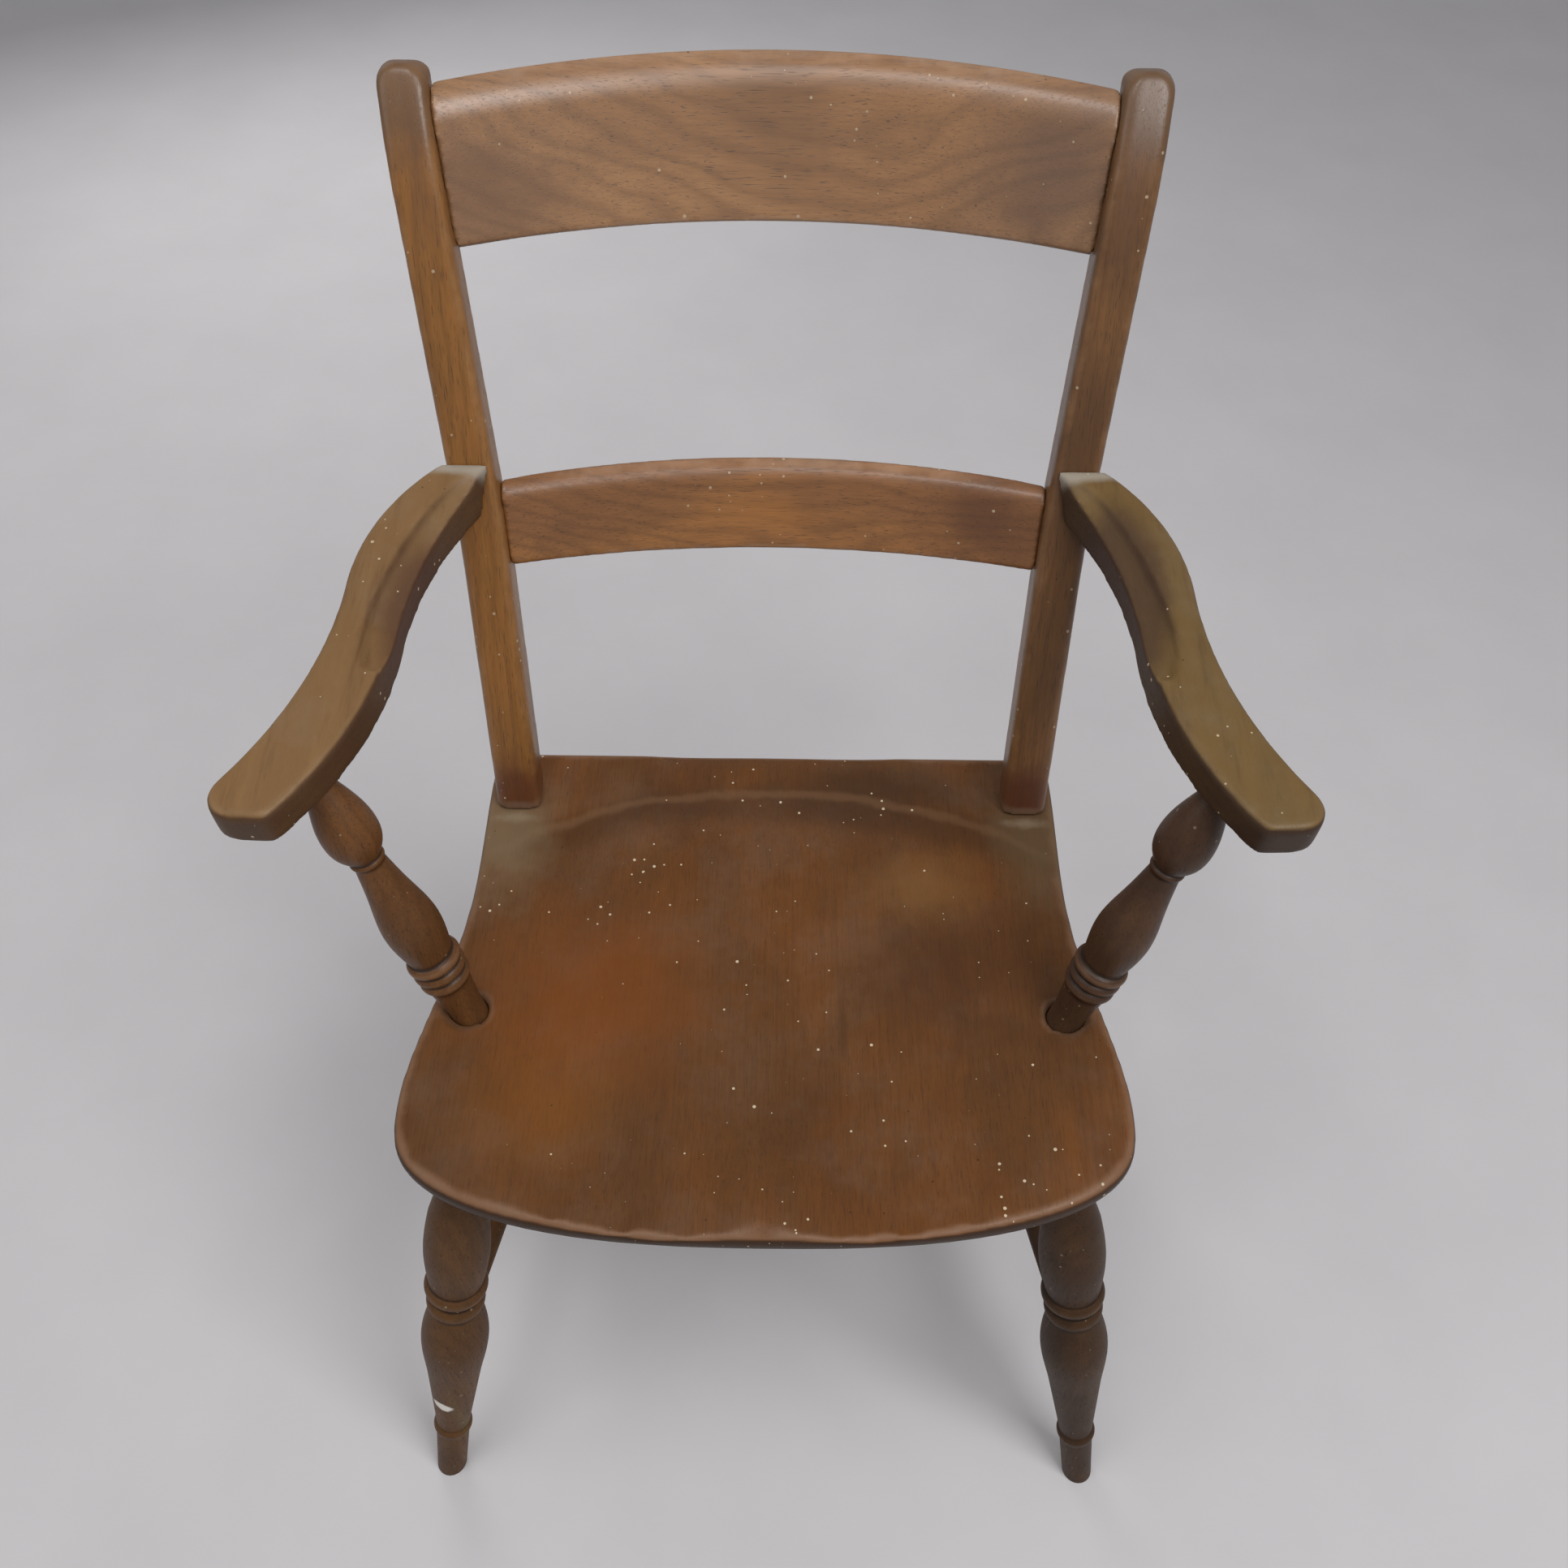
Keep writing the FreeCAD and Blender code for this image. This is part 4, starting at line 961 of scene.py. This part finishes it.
@dataclass(frozen=True)
class Seat:
    """Saddle seat, in metres."""

    voxel: float = 0.0026
    soften: int = 5
    # The seat's dark side tone is painted shade on the rim's faces below the top edge.
    finish: WoodFinish = WoodFinish(
        "seat_wood", main="5e3c1f", light="6f421c", dark="452b18", worn="84634b", grime_and_shade="24180f",
        side="2d2017", side_shade_share=0.8, ring=0.10, specks=0.9, rough=0.44, gloss=0.18, coat=0.0,
        dusty=0.08, pores=0.3)
    marks: tuple[Mark, ...] = (
        # Warm, pale and dark patches in the dish, and a dark streak.
        Mark("7a4318", (-0.115, -0.085, 0.410), (0.120, 0.110, 0.05), 0.60, 0.05, 0.7, 22.0),
        Mark("77491c", (-0.150, -0.175, 0.410), (0.080, 0.060, 0.05), 0.45, 0.05, 0.8, 30.0),
        Mark("412818", (0.128, -0.060, 0.410), (0.105, 0.085, 0.05), 0.55, 0.05, 0.7, 26.0),
        Mark("78532a", (0.114, 0.007, 0.410), (0.060, 0.045, 0.05), 0.55, 0.05, 0.9, 40.0),
        Mark("3c2410", (0.052, -0.110, 0.410), (0.0045, 0.040, 0.05), 0.35, 0.05, 1.1, 45.0),
        # Painted shade as a dark band along the dish's edge at the back, a pale line on that edge as a
        # painted highlight, and a dark patch behind it.
        Mark("372416", (0.000, -0.0876, 0.415), (0.264, 0.166, 0.30), 0.42, 0.10, 0.20, 18.0,
             ring=0.13, behind=0.0),
        Mark("372619", (0.075, 0.095, 0.418), (0.110, 0.040, 0.05), 0.60, 0.10, 0.6, 30.0),
        Mark("7d5d42", (0.000, -0.0876, 0.415), (0.274, 0.177, 0.30), 0.30, 0.10, 0.09, 24.0,
             ring=0.032, behind=0.0),
        # Dust in front of the posts.
        Mark("7b6a52", (-0.198, 0.045, 0.418), (0.055, 0.085, 0.05), 0.62, 0.10, 0.7, 34.0, dull=0.6),
        Mark("665740", (0.200, 0.045, 0.418), (0.050, 0.085, 0.05), 0.48, 0.10, 0.7, 34.0, dull=0.6),
        # Dark rims round the sockets of the arm supports: partly grime in the joint, partly painted shade
        # where the support meets the seat.
        Mark("24180f", (-0.2045, -0.1026, 0.420), (0.019, 0.020, 0.03), 0.45, 0.75, 0.2, 80.0, dull=0.4),
        Mark("24180f", (0.2045, -0.1026, 0.420), (0.019, 0.020, 0.03), 0.45, 0.75, 0.2, 80.0, dull=0.4),
        # Lines of dust at the posts' feet.
        Mark("8f8068", (-0.192, 0.063, 0.420), (0.024, 0.007, 0.02), 0.50, 0.10, 1.0, 110.0, dull=0.6),
        Mark("8f8068", (0.192, 0.063, 0.420), (0.024, 0.007, 0.02), 0.50, 0.10, 1.0, 110.0, dull=0.6),
    )

    def build(self) -> None:
        """Soften and dress the plank."""
        piece = worn_copy("seat", self.voxel, self.soften)
        dress(piece, self.finish.make(Grain.FORWARD, self.marks), "seat")


@dataclass(frozen=True)
class Rail:
    """Bowed rail between the posts, in metres."""

    node: str
    finish: WoodFinish
    marks: tuple[Mark, ...]
    roll: float
    thick: float
    voxel: float = 0.002
    soften: int = 4
    end_part: float = 0.02

    def build(self) -> None:
        """Soften, fair and dress the rail."""
        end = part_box(self.node)[1][0]
        piece = worn_copy(self.node, self.voxel, self.soften, end - self.end_part)
        roll_top(piece.data, self.roll, self.thick)
        dress(piece, self.finish.make(Grain.ACROSS, self.marks), self.node)


@dataclass(frozen=True)
class Back:
    """Posts and bowed rails, in metres."""

    crest: Rail = Rail(
        "crest_rail",
        WoodFinish("crest_wood", main="916945", light="a57a51", dark="674931", worn="b08e72", grime_and_shade="3f2b1f",
                   ring=0.34, ring_width=0.010, pith=(0.02, 0.80), rough=0.42, coat=0.9, coat_rough=0.38),
        (
            Mark("5b4538", (0.165, 0.224, 0.845), (0.085, 0.060, 0.090), 0.66, 0.05, 0.7, 26.0),
            Mark("6b4c34", (-0.165, 0.222, 0.815), (0.070, 0.060, 0.055), 0.62, 0.05, 0.8, 30.0),
        ),
        roll=0.016,
        thick=0.019,
    )
    cross: Rail = Rail(
        "cross_rail",
        WoodFinish("cross_wood", main="885c38", light="a36f3d", dark="604129", worn="b08c70", grime_and_shade="3c281c",
                   ring=0.34, ring_width=0.008, pith=(0.10, 0.60), rough=0.38, coat=0.3, coat_rough=0.30),
        (
            # Darker right end: painted shade, as on the chair's other right-hand pieces.
            Mark("4e3022", (0.150, 0.160, 0.630), (0.075, 0.060, 0.060), 0.65, 0.05, 0.6, 30.0),
            Mark("a06a35", (-0.010, 0.160, 0.625), (0.060, 0.060, 0.022), 0.50, 0.05, 0.7, 40.0),
        ),
        roll=0.009,
        thick=0.017,
    )
    # The right post's tones are darker than the left's as painted shade on the same wood.
    post_lit_and_shaded_finishes: ClassVar[dict[str, WoodFinish]] = {
        "left": WoodFinish(
            "post_wood", main="85592a", light="966430", dark="5a3b1f", worn="a07850", grime_and_shade="35221a",
            ring=0.22, top="8a6440", top_light_and_dust_share=0.35, gloss=0.3, rough=0.38, coat=0.35),
        "right": WoodFinish(
            "post_wood", main="694729", light="7d5630", dark="47301d", worn="8e6a48", grime_and_shade="2c1d15",
            ring=0.22, top="7d5a3c", top_light_and_dust_share=0.35, gloss=0.3, rough=0.38, coat=0.35),
    }
    post_marks: tuple[Mark, ...] = (
        Mark("4c2416", (0.190, 0.085, 0.435), (0.035, 0.060, 0.040), 0.75, 0.25, 0.5, 60.0),
        Mark("57412f", (0.222, 0.225, 0.890), (0.040, 0.070, 0.050), 0.70, 0.30, 0.6, 40.0),
        Mark("5e4331", (0.210, 0.215, 0.840), (0.016, 0.070, 0.060), 0.45, 0.10, 0.6, 40.0),
        Mark("6a5240", (0.190, 0.075, 0.424), (0.030, 0.040, 0.006), 0.70, 0.30, 0.4, 90.0, dull=0.6),
    )
    post_voxel: float = 0.002
    post_soften: int = 8
    post_round: float = 0.011

    def build(self) -> None:
        """Soften and dress each piece."""
        self.crest.build()
        self.cross.build()
        for side, hand in SIDES:
            marks = on_side(self.post_marks, hand)
            wood = self.post_lit_and_shaded_finishes[side].make(Grain.LEANING, marks, "_" + side)
            piece = worn_copy("post_" + side, self.post_voxel, self.post_soften)
            round_top(piece.data, self.post_round)
            dress(piece, wood, "post_" + side)


@dataclass(frozen=True)
class Arms:
    """The two arms, in metres."""

    voxel: float = 0.0018
    soften: int = 18
    # The right arm's tones are darker than the left's as painted shade on the same wood; the side tone is
    # painted shade on the arms' upright faces.
    arm_lit_and_shaded_finishes: ClassVar[dict[str, WoodFinish]] = {
        "left": WoodFinish(
            "arm_wood", main="573a24", light="80623e", dark="40291a", worn="8b6d4a", grime_and_shade="271b15",
            top="785a38", top_light_and_dust_share=0.9, gloss=0.2, side="4a3322", side_shade_share=0.6, rough=0.50, ring=0.2,
            specks=0.7),
        "right": WoodFinish(
            "arm_wood", main="432e20", light="715832", dark="332318", worn="7b623f", grime_and_shade="21170f",
            top="69522f", top_light_and_dust_share=0.9, gloss=0.2, side="33241b", side_shade_share=0.6, rough=0.50, ring=0.2,
            specks=0.7),
    }
    # Dark patch on the back of each arm's inner side: painted shade, set apart for each side.
    hollow_shades: ClassVar[dict[str, Mark]] = {
        "left": Mark("4a2f22", (0.218, 0.034, 0.668), (0.027, 0.074, 0.06), 0.68, 0.45, 0.35, 40.0),
        "right": Mark("3f2c21", (0.220, 0.052, 0.668), (0.031, 0.088, 0.06), 0.72, 0.55, 0.28, 40.0),
    }
    marks: tuple[Mark, ...] = (
        Mark("9a9285", (0.202, 0.148, 0.682), (0.040, 0.010, 0.02), 0.85, 0.30, 0.35, 80.0, dull=0.8),
        Mark("46362a", (0.296, -0.129, 0.640), (0.034, 0.006, 0.018), 0.65, 0.30, 0.6, 90.0),
    )

    def build(self) -> None:
        """Soften and dress both arms."""
        for side, hand in SIDES:
            marks = on_side((self.hollow_shades[side], *self.marks), hand)
            wood = self.arm_lit_and_shaded_finishes[side].make(Grain.FORWARD, marks, "_" + side)
            piece = worn_copy("arm_" + side, self.voxel, self.soften)
            dress(piece, wood, "arm_" + side)


@dataclass(frozen=True)
class LegSizes:
    """Outline of a leg, places from the floor, in millimetres."""

    trim: float = 8.0
    foot: float = 23.0
    ankle: Place = (62.0, 26.0)
    bead: Place = (10.0, 30.0)
    calf: Place = (150.0, 40.0)
    vase: Place = (204.0, 49.0)
    throat: Place = (241.0, 36.0)
    ring: float = 14.0
    lower_ring: float = 42.0
    upper_ring: float = 45.0
    cove: float = 4.0
    thigh_foot: float = 39.0
    thigh: Place = (312.0, 46.0)
    hip: Place = (40.0, 40.0)
    neck: float = 9.0
    tenon: Place = (27.0, 27.0)

    def outline(self, length: float) -> Turning:
        """Outline of a leg.

        Args:
            length: From the floor to the seat's underside, along the leg.

        Returns:
            The outline, from the trim below the floor to the tenon's end.
        """
        up = self.trim
        top = up + length
        line = Turning(self.foot).cut(Cut.TAPER, (self.ankle[0] + up, self.ankle[1]))
        line.bead(self.bead[0], self.bead[1], self.ankle[1])
        line.cut(Cut.TAPER, (self.calf[0] + up, self.calf[1]))
        line.cut(Cut.SWELL, (self.vase[0] + up, self.vase[1]), (self.throat[0] + up, self.throat[1]))
        line.bead(self.ring, self.lower_ring, self.throat[1])
        line.cut(Cut.TAPER, (line.points[-1][0] + self.cove, self.throat[1]))
        line.bead(self.ring, self.upper_ring, self.thigh_foot)
        line.cut(Cut.SWELL, (self.thigh[0] + up, self.thigh[1]), (top - self.hip[0], self.hip[1]))
        line.cut(Cut.TAPER, (top - self.neck, self.tenon[1]))
        return line.cut(Cut.TAPER, (top + self.tenon[0], self.tenon[1]))


@dataclass(frozen=True)
class SupportSizes:
    """Outline of an arm support, places from the seat, in millimetres."""

    seat_depth: float = 22.0
    foot: Place = (6.0, 24.0)
    cone: Place = (33.0, 30.0)
    ring: Place = (9.0, 35.0)
    rings: int = 3
    vase: Place = (90.0, 38.0)
    neck: Place = (151.0, 20.0)
    collar: Place = (4.5, 23.0)
    ball: Place = (176.0, 36.0)
    cheek: float = 0.90
    brow: float = 0.80
    head_neck: float = 5.0
    tenon: Place = (15.0, 17.0)

    def outline(self, length: float) -> Turning:
        """Outline of an arm support.

        Args:
            length: From the seat to the arm's underside, along the support.

        Returns:
            The outline, from the lower tenon's end to the upper one's.
        """
        up = self.seat_depth
        top = up + length
        line = Turning(self.foot[1]).cut(Cut.TAPER, (up + self.foot[0], self.foot[1]))
        line.cut(Cut.TAPER, (up + self.cone[0], self.cone[1]))
        for number in range(self.rings):
            line.bead(self.ring[0], self.ring[1] + number, self.cone[1])
        middle = ((self.vase[0] + self.neck[0]) * 0.5 + up, (self.vase[1] + self.neck[1]) * 0.5)
        line.cut(Cut.SWELL, (up + self.vase[0], self.vase[1]), middle, (up + self.neck[0], self.neck[1]))
        line.bead(self.collar[0], self.collar[1], self.neck[1])
        ball = up + self.ball[0]
        cheek = self.ball[1] * self.cheek
        brow = self.ball[1] * self.brow
        line.cut(Cut.SWELL, ((line.points[-1][0] + ball) * 0.5, cheek), (ball, self.ball[1]),
                 ((ball + top) * 0.5, brow), (top - self.head_neck, self.tenon[1]))
        return line.cut(Cut.TAPER, (top + self.tenon[0], self.tenon[1]))


@dataclass(frozen=True)
class BarSizes:
    """Outline of a stretcher, in millimetres."""

    swell: float
    stop: float
    end: Place = (22.0, 16.0)
    waist: float = 34.0

    def outline(self, length: float) -> Turning:
        """Outline of a stretcher.

        Args:
            length: From end to end.

        Returns:
            The outline.
        """
        line = Turning(self.end[1]).cut(Cut.TAPER, self.end)
        line.cut(Cut.TAPER, ((length - self.waist) * 0.5, self.swell))
        line.cut(Cut.TAPER, ((length + self.waist) * 0.5, self.swell))
        line.cut(Cut.TAPER, (length - self.end[0], self.end[1]))
        return line.cut(Cut.TAPER, (length, self.end[1]))


@dataclass
class Turnings:
    """Legs, arm supports and stretchers, set out in millimetres from the seat's widest line."""

    leg: LegSizes = LegSizes()
    support: SupportSizes = SupportSizes()
    side_bar: BarSizes = BarSizes(swell=32.0, stop=7.0)
    cross_bar: BarSizes = BarSizes(swell=27.0, stop=5.0)
    seat_front: float = 71.5
    seat_under: float = 380.0
    seat_top: float = 420.0
    bar_height: float = 178.0
    support_foot: Place = (204.5, 90.0)
    support_head: Point = (263.0, 114.0, 633.6)
    leg_tops: ClassVar[dict[str, Place]] = {"front": (201.0, -14.0), "rear": (152.0, 240.0)}
    leg_feet: ClassVar[dict[str, Place]] = {"front": (257.0, -88.0), "rear": (200.0, 348.0)}
    # The right support's tones are darker than the left's as painted shade on the same wood.
    support_lit_and_shaded_finishes: ClassVar[dict[str, WoodFinish]] = {
        "left": WoodFinish(
            "support_wood", main="613f22", light="724a27", dark="432b19", worn="7f5c3e", grime_and_shade="261a13",
            ring=0.2, blotch=14.0, specks=0.25, gloss=0.22, coat=0.08, dusty=0.03),
        "right": WoodFinish(
            "support_wood", main="4a3323", light="5a3f29", dark="332319", worn="6c4f3a", grime_and_shade="20160f",
            ring=0.2, blotch=14.0, specks=0.25, gloss=0.22, coat=0.08, dusty=0.03),
    }
    # The right legs' tones are darker than the left's as painted shade under the seat, on the same wood.
    leg_lit_and_shaded_finishes: ClassVar[dict[str, WoodFinish]] = {
        "left": WoodFinish(
            "leg_wood", main="593c22", light="6a4827", dark="3e2917", worn="755436", grime_and_shade="24170e",
            ring=0.2, blotch=14.0, specks=0.25, gloss=0.14, rough=0.48, coat=0.04, dusty=0.03),
        "right": WoodFinish(
            "leg_wood", main="412c1b", light="50371f", dark="2d1f14", worn="5d4229", grime_and_shade="1d130c",
            ring=0.2, blotch=14.0, specks=0.25, gloss=0.14, rough=0.48, coat=0.04, dusty=0.03),
    }
    chip: tuple[Mark, ...] = (
        Mark("e8e4da", (-0.2465, -0.2735, 0.118), (0.0105, 0.012, 0.0065), 1.0, 0.65, 0.8, 120.0),
        Mark("66603c", (-0.236, -0.262, 0.100), (0.008, 0.030, 0.070), 0.40, 0.10, 0.6, 60.0),
    )

    def __post_init__(self) -> None:
        """Find the set-out line from the seat, and make the lathe."""
        self.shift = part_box("seat")[0][1] / MM + self.seat_front
        self.lathe = Lathe()

    def at(self, x: float, y: float, z: float) -> Vector:
        """Place in the chair's frame of a set-out point."""
        return Vector((x, y + self.shift, z)) * MM

    def axis(self, row: str, hand: float) -> tuple[Vector, Vector]:
        """Axis of a leg.

        Args:
            row: "front" or "rear".
            hand: -1 for the left, 1 for the right.

        Returns:
            Its place on the floor and at the seat's underside, in metres.
        """
        foot = self.leg_feet[row]
        top = self.leg_tops[row]
        return self.at(hand * foot[0], foot[1], 0.0), self.at(hand * top[0], top[1], self.seat_under)

    def bar_point(self, row: str, hand: float) -> Vector:
        """Place on a leg's axis where the side stretcher meets it."""
        foot, head = self.axis(row, hand)
        return foot.lerp(head, self.bar_height / self.seat_under)

    def turn(self, node: str, outline: Turning, start: Vector, end: Vector,
             wood: bpy.types.Material) -> None:
        """Turn and dress one piece.

        Args:
            node: The CAD node it replaces.
            outline: Its outline.
            start: Its lower end, in metres.
            end: A point that its axis runs towards.
            wood: Its material.
        """
        piece = self.lathe.turn(node + "_turned", outline, start, end, wood)
        dress(piece, wood, node)

    def bar(self, node: str, sizes: BarSizes, start: Vector, end: Vector, wood: bpy.types.Material) -> None:
        """Turn and dress one stretcher between two axes.

        Args:
            node: The CAD node it replaces.
            sizes: Its sizes.
            start: Place on the first axis, in metres.
            end: Place on the second axis.
            wood: Its material.
        """
        way = (end - start).normalized() * sizes.stop * MM
        outline = sizes.outline((end - start - way * 2.0).length / MM)
        self.turn(node, outline, start + way, end, wood)

    def build(self) -> None:
        """Turn and dress every piece."""
        middles = []
        for side, hand in SIDES:
            leg_finish = self.leg_lit_and_shaded_finishes[side]
            wood = leg_finish.make(Grain.UPRIGHT, self.chip if side == "left" else (), "_" + side)
            for row in self.leg_tops:
                low, high = self.axis(row, hand)
                outline = self.leg.outline((high - low).length / MM)
                start = low - (high - low).normalized() * self.leg.trim * MM
                self.turn("leg_%s_%s" % (row, side), outline, start, high, wood)
            foot = self.at(hand * self.support_foot[0], self.support_foot[1], self.seat_top)
            head = self.at(hand * self.support_head[0], *self.support_head[1:])
            outline = self.support.outline((head - foot).length / MM)
            start = foot - (head - foot).normalized() * self.support.seat_depth * MM
            wood = self.support_lit_and_shaded_finishes[side].make(Grain.UPRIGHT, (), "_" + side)
            self.turn("arm_support_" + side, outline, start, head, wood)
            front = self.bar_point("front", hand)
            rear = self.bar_point("rear", hand)
            middles.append(front.lerp(rear, 0.5))
            # Each side stretcher takes its side's leg tones, darker on the right as painted shade.
            wood = leg_finish.make(Grain.FORWARD, (), "_bar_" + side)
            self.bar("side_stretcher_" + side, self.side_bar, front, rear, wood)
        # The cross stretcher takes the right legs' darker tones as painted shade under the seat.
        wood = self.leg_lit_and_shaded_finishes["right"].make(Grain.ACROSS, (), "_cross_bar")
        self.bar("cross_stretcher", self.cross_bar, *middles, wood)


@dataclass(frozen=True)
class Lamp:
    """Square area lamp that faces the chair's middle, in metres and watts."""

    name: str
    place: Point
    size: float
    power: float
    mirrored: bool = True
    aim: Point = (0.0, 0.0, 0.45)

    def build(self) -> None:
        """Hang the lamp, which shows in sheens only if it is mirrored."""
        data = bpy.data.lights.new(self.name, "AREA")
        data.size = self.size
        data.energy = self.power
        lamp = bpy.data.objects.new(self.name, data)
        lamp.location = self.place
        lamp.rotation_euler = (Vector(self.aim) - Vector(self.place)).to_track_quat("-Z", "Y").to_euler()
        lamp.visible_glossy = self.mirrored
        bpy.context.scene.collection.objects.link(lamp)


@dataclass(frozen=True)
class Studio:
    """Pale floor, soft light and the camera, in metres, degrees and pixels of the picture."""

    ahead: float = 0.3565
    beside: float = 0.0102
    height: float = 1.2836
    yaw: float = -0.051
    pitch: float = 50.197
    roll: float = 0.644
    focal: float = 1800.0
    picture: float = 1932.0
    sensor: float = 36.0
    floor_reach: float = 6.0
    floor_mottle: float = 5.0
    floor_rough: float = 0.7
    floor_tones: tuple[str, str] = ("cbc9ca", "bfbdbe")
    air: str = "c9c8cb"
    air_strength: float = 0.5
    lamps: tuple[Lamp, ...] = (
        Lamp("key", (1.1, -1.1, 2.5), 1.2, 40.0),
        Lamp("fill", (-1.7, -0.6, 1.9), 1.4, 8.0),
        Lamp("ceiling", (-0.4, -0.45, 2.7), 0.6, 11.0),
        Lamp("rear", (-1.0, 2.1, 1.3), 1.2, 16.0, mirrored=False),
    )

    def build(self) -> None:
        """Make the floor, the lamps, the world and the camera."""
        self.floor()
        for lamp in self.lamps:
            lamp.build()
        self.world()
        self.camera()
        bpy.context.scene.view_settings.view_transform = "Standard"

    def floor(self) -> None:
        """Wide pale floor with a faint mottle."""
        mesh = bpy.data.meshes.new("floor")
        wide = self.floor_reach
        square = [(-wide, -wide, 0), (wide, -wide, 0), (wide, wide, 0), (-wide, wide, 0)]
        mesh.from_pydata(square, [], [(0, 1, 2, 3)])
        floor = as_piece("floor", mesh)
        sheet = Sheet("pale_floor")
        place = sheet.add("ShaderNodeTexCoord", None, None, "Object")
        mottle = sheet.noise(place, self.floor_mottle, 5.0, 0.6)
        pale, dim = (linear(tone) for tone in self.floor_tones)
        sheet.feed(Base_Color=sheet.mix(mottle, pale, dim), Roughness=self.floor_rough)
        mesh.materials.append(sheet.material)

    def world(self) -> None:
        """Even pale surroundings."""
        world = bpy.data.worlds.new("surroundings")
        world.use_nodes = True
        ground = world.node_tree.nodes["Background"]
        ground.inputs["Color"].default_value = linear(self.air)
        ground.inputs["Strength"].default_value = self.air_strength
        bpy.context.scene.world = world

    def camera(self) -> None:
        """Camera above the chair's front, looking steeply down."""
        data = bpy.data.cameras.new("camera")
        data.sensor_width = self.sensor
        data.lens = self.sensor * self.focal / self.picture
        yaw, pitch, roll = (math.radians(a) for a in (self.yaw, self.pitch, self.roll))
        ahead = Vector((math.sin(yaw) * math.cos(pitch), math.cos(yaw) * math.cos(pitch), -math.sin(pitch)))
        right = Vector((math.cos(yaw), -math.sin(yaw), 0.0))
        up = right.cross(ahead)
        across = right * math.cos(roll) + up * math.sin(roll)
        above = up * math.cos(roll) - right * math.sin(roll)
        turn = Matrix((across, above, -ahead)).transposed()
        camera = bpy.data.objects.new("camera", data)
        camera.rotation_euler = turn.to_euler()
        camera.location = (self.beside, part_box("seat")[0][1] - self.ahead, self.height)
        bpy.context.scene.collection.objects.link(camera)
        bpy.context.scene.camera = camera


@dataclass(frozen=True)
class Fastenings:
    """Pegs, pellets, wedges and screws."""

    wooden: tuple[str, ...] = ("rail_pegs", "screw_pellets", "post_wedges")
    finish: WoodFinish = WoodFinish(
        "peg_wood", main="6b4c30", light="7d5a38", dark="3f2b1d", worn="8b6c50", grime_and_shade="271a12",
        ring=0.1, specks=0.0)
    steel: SteelFinish = SteelFinish()

    def build(self) -> None:
        """Dress the CAD nodes as they are."""
        wood = self.finish.make(Grain.FORWARD)
        for node in self.wooden:
            dress_node(node, wood)
        dress_node("arm_screws", self.steel.make())


def main() -> None:
    """Build the chair's finish piece by piece, then the studio round it."""
    logging.basicConfig(level=logging.INFO, format="%(message)s")
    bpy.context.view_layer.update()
    for group in (Seat(), Back(), Arms(), Turnings(), Fastenings(), Studio()):
        group.build()
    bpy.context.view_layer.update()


if __name__ == "__main__":
    main()
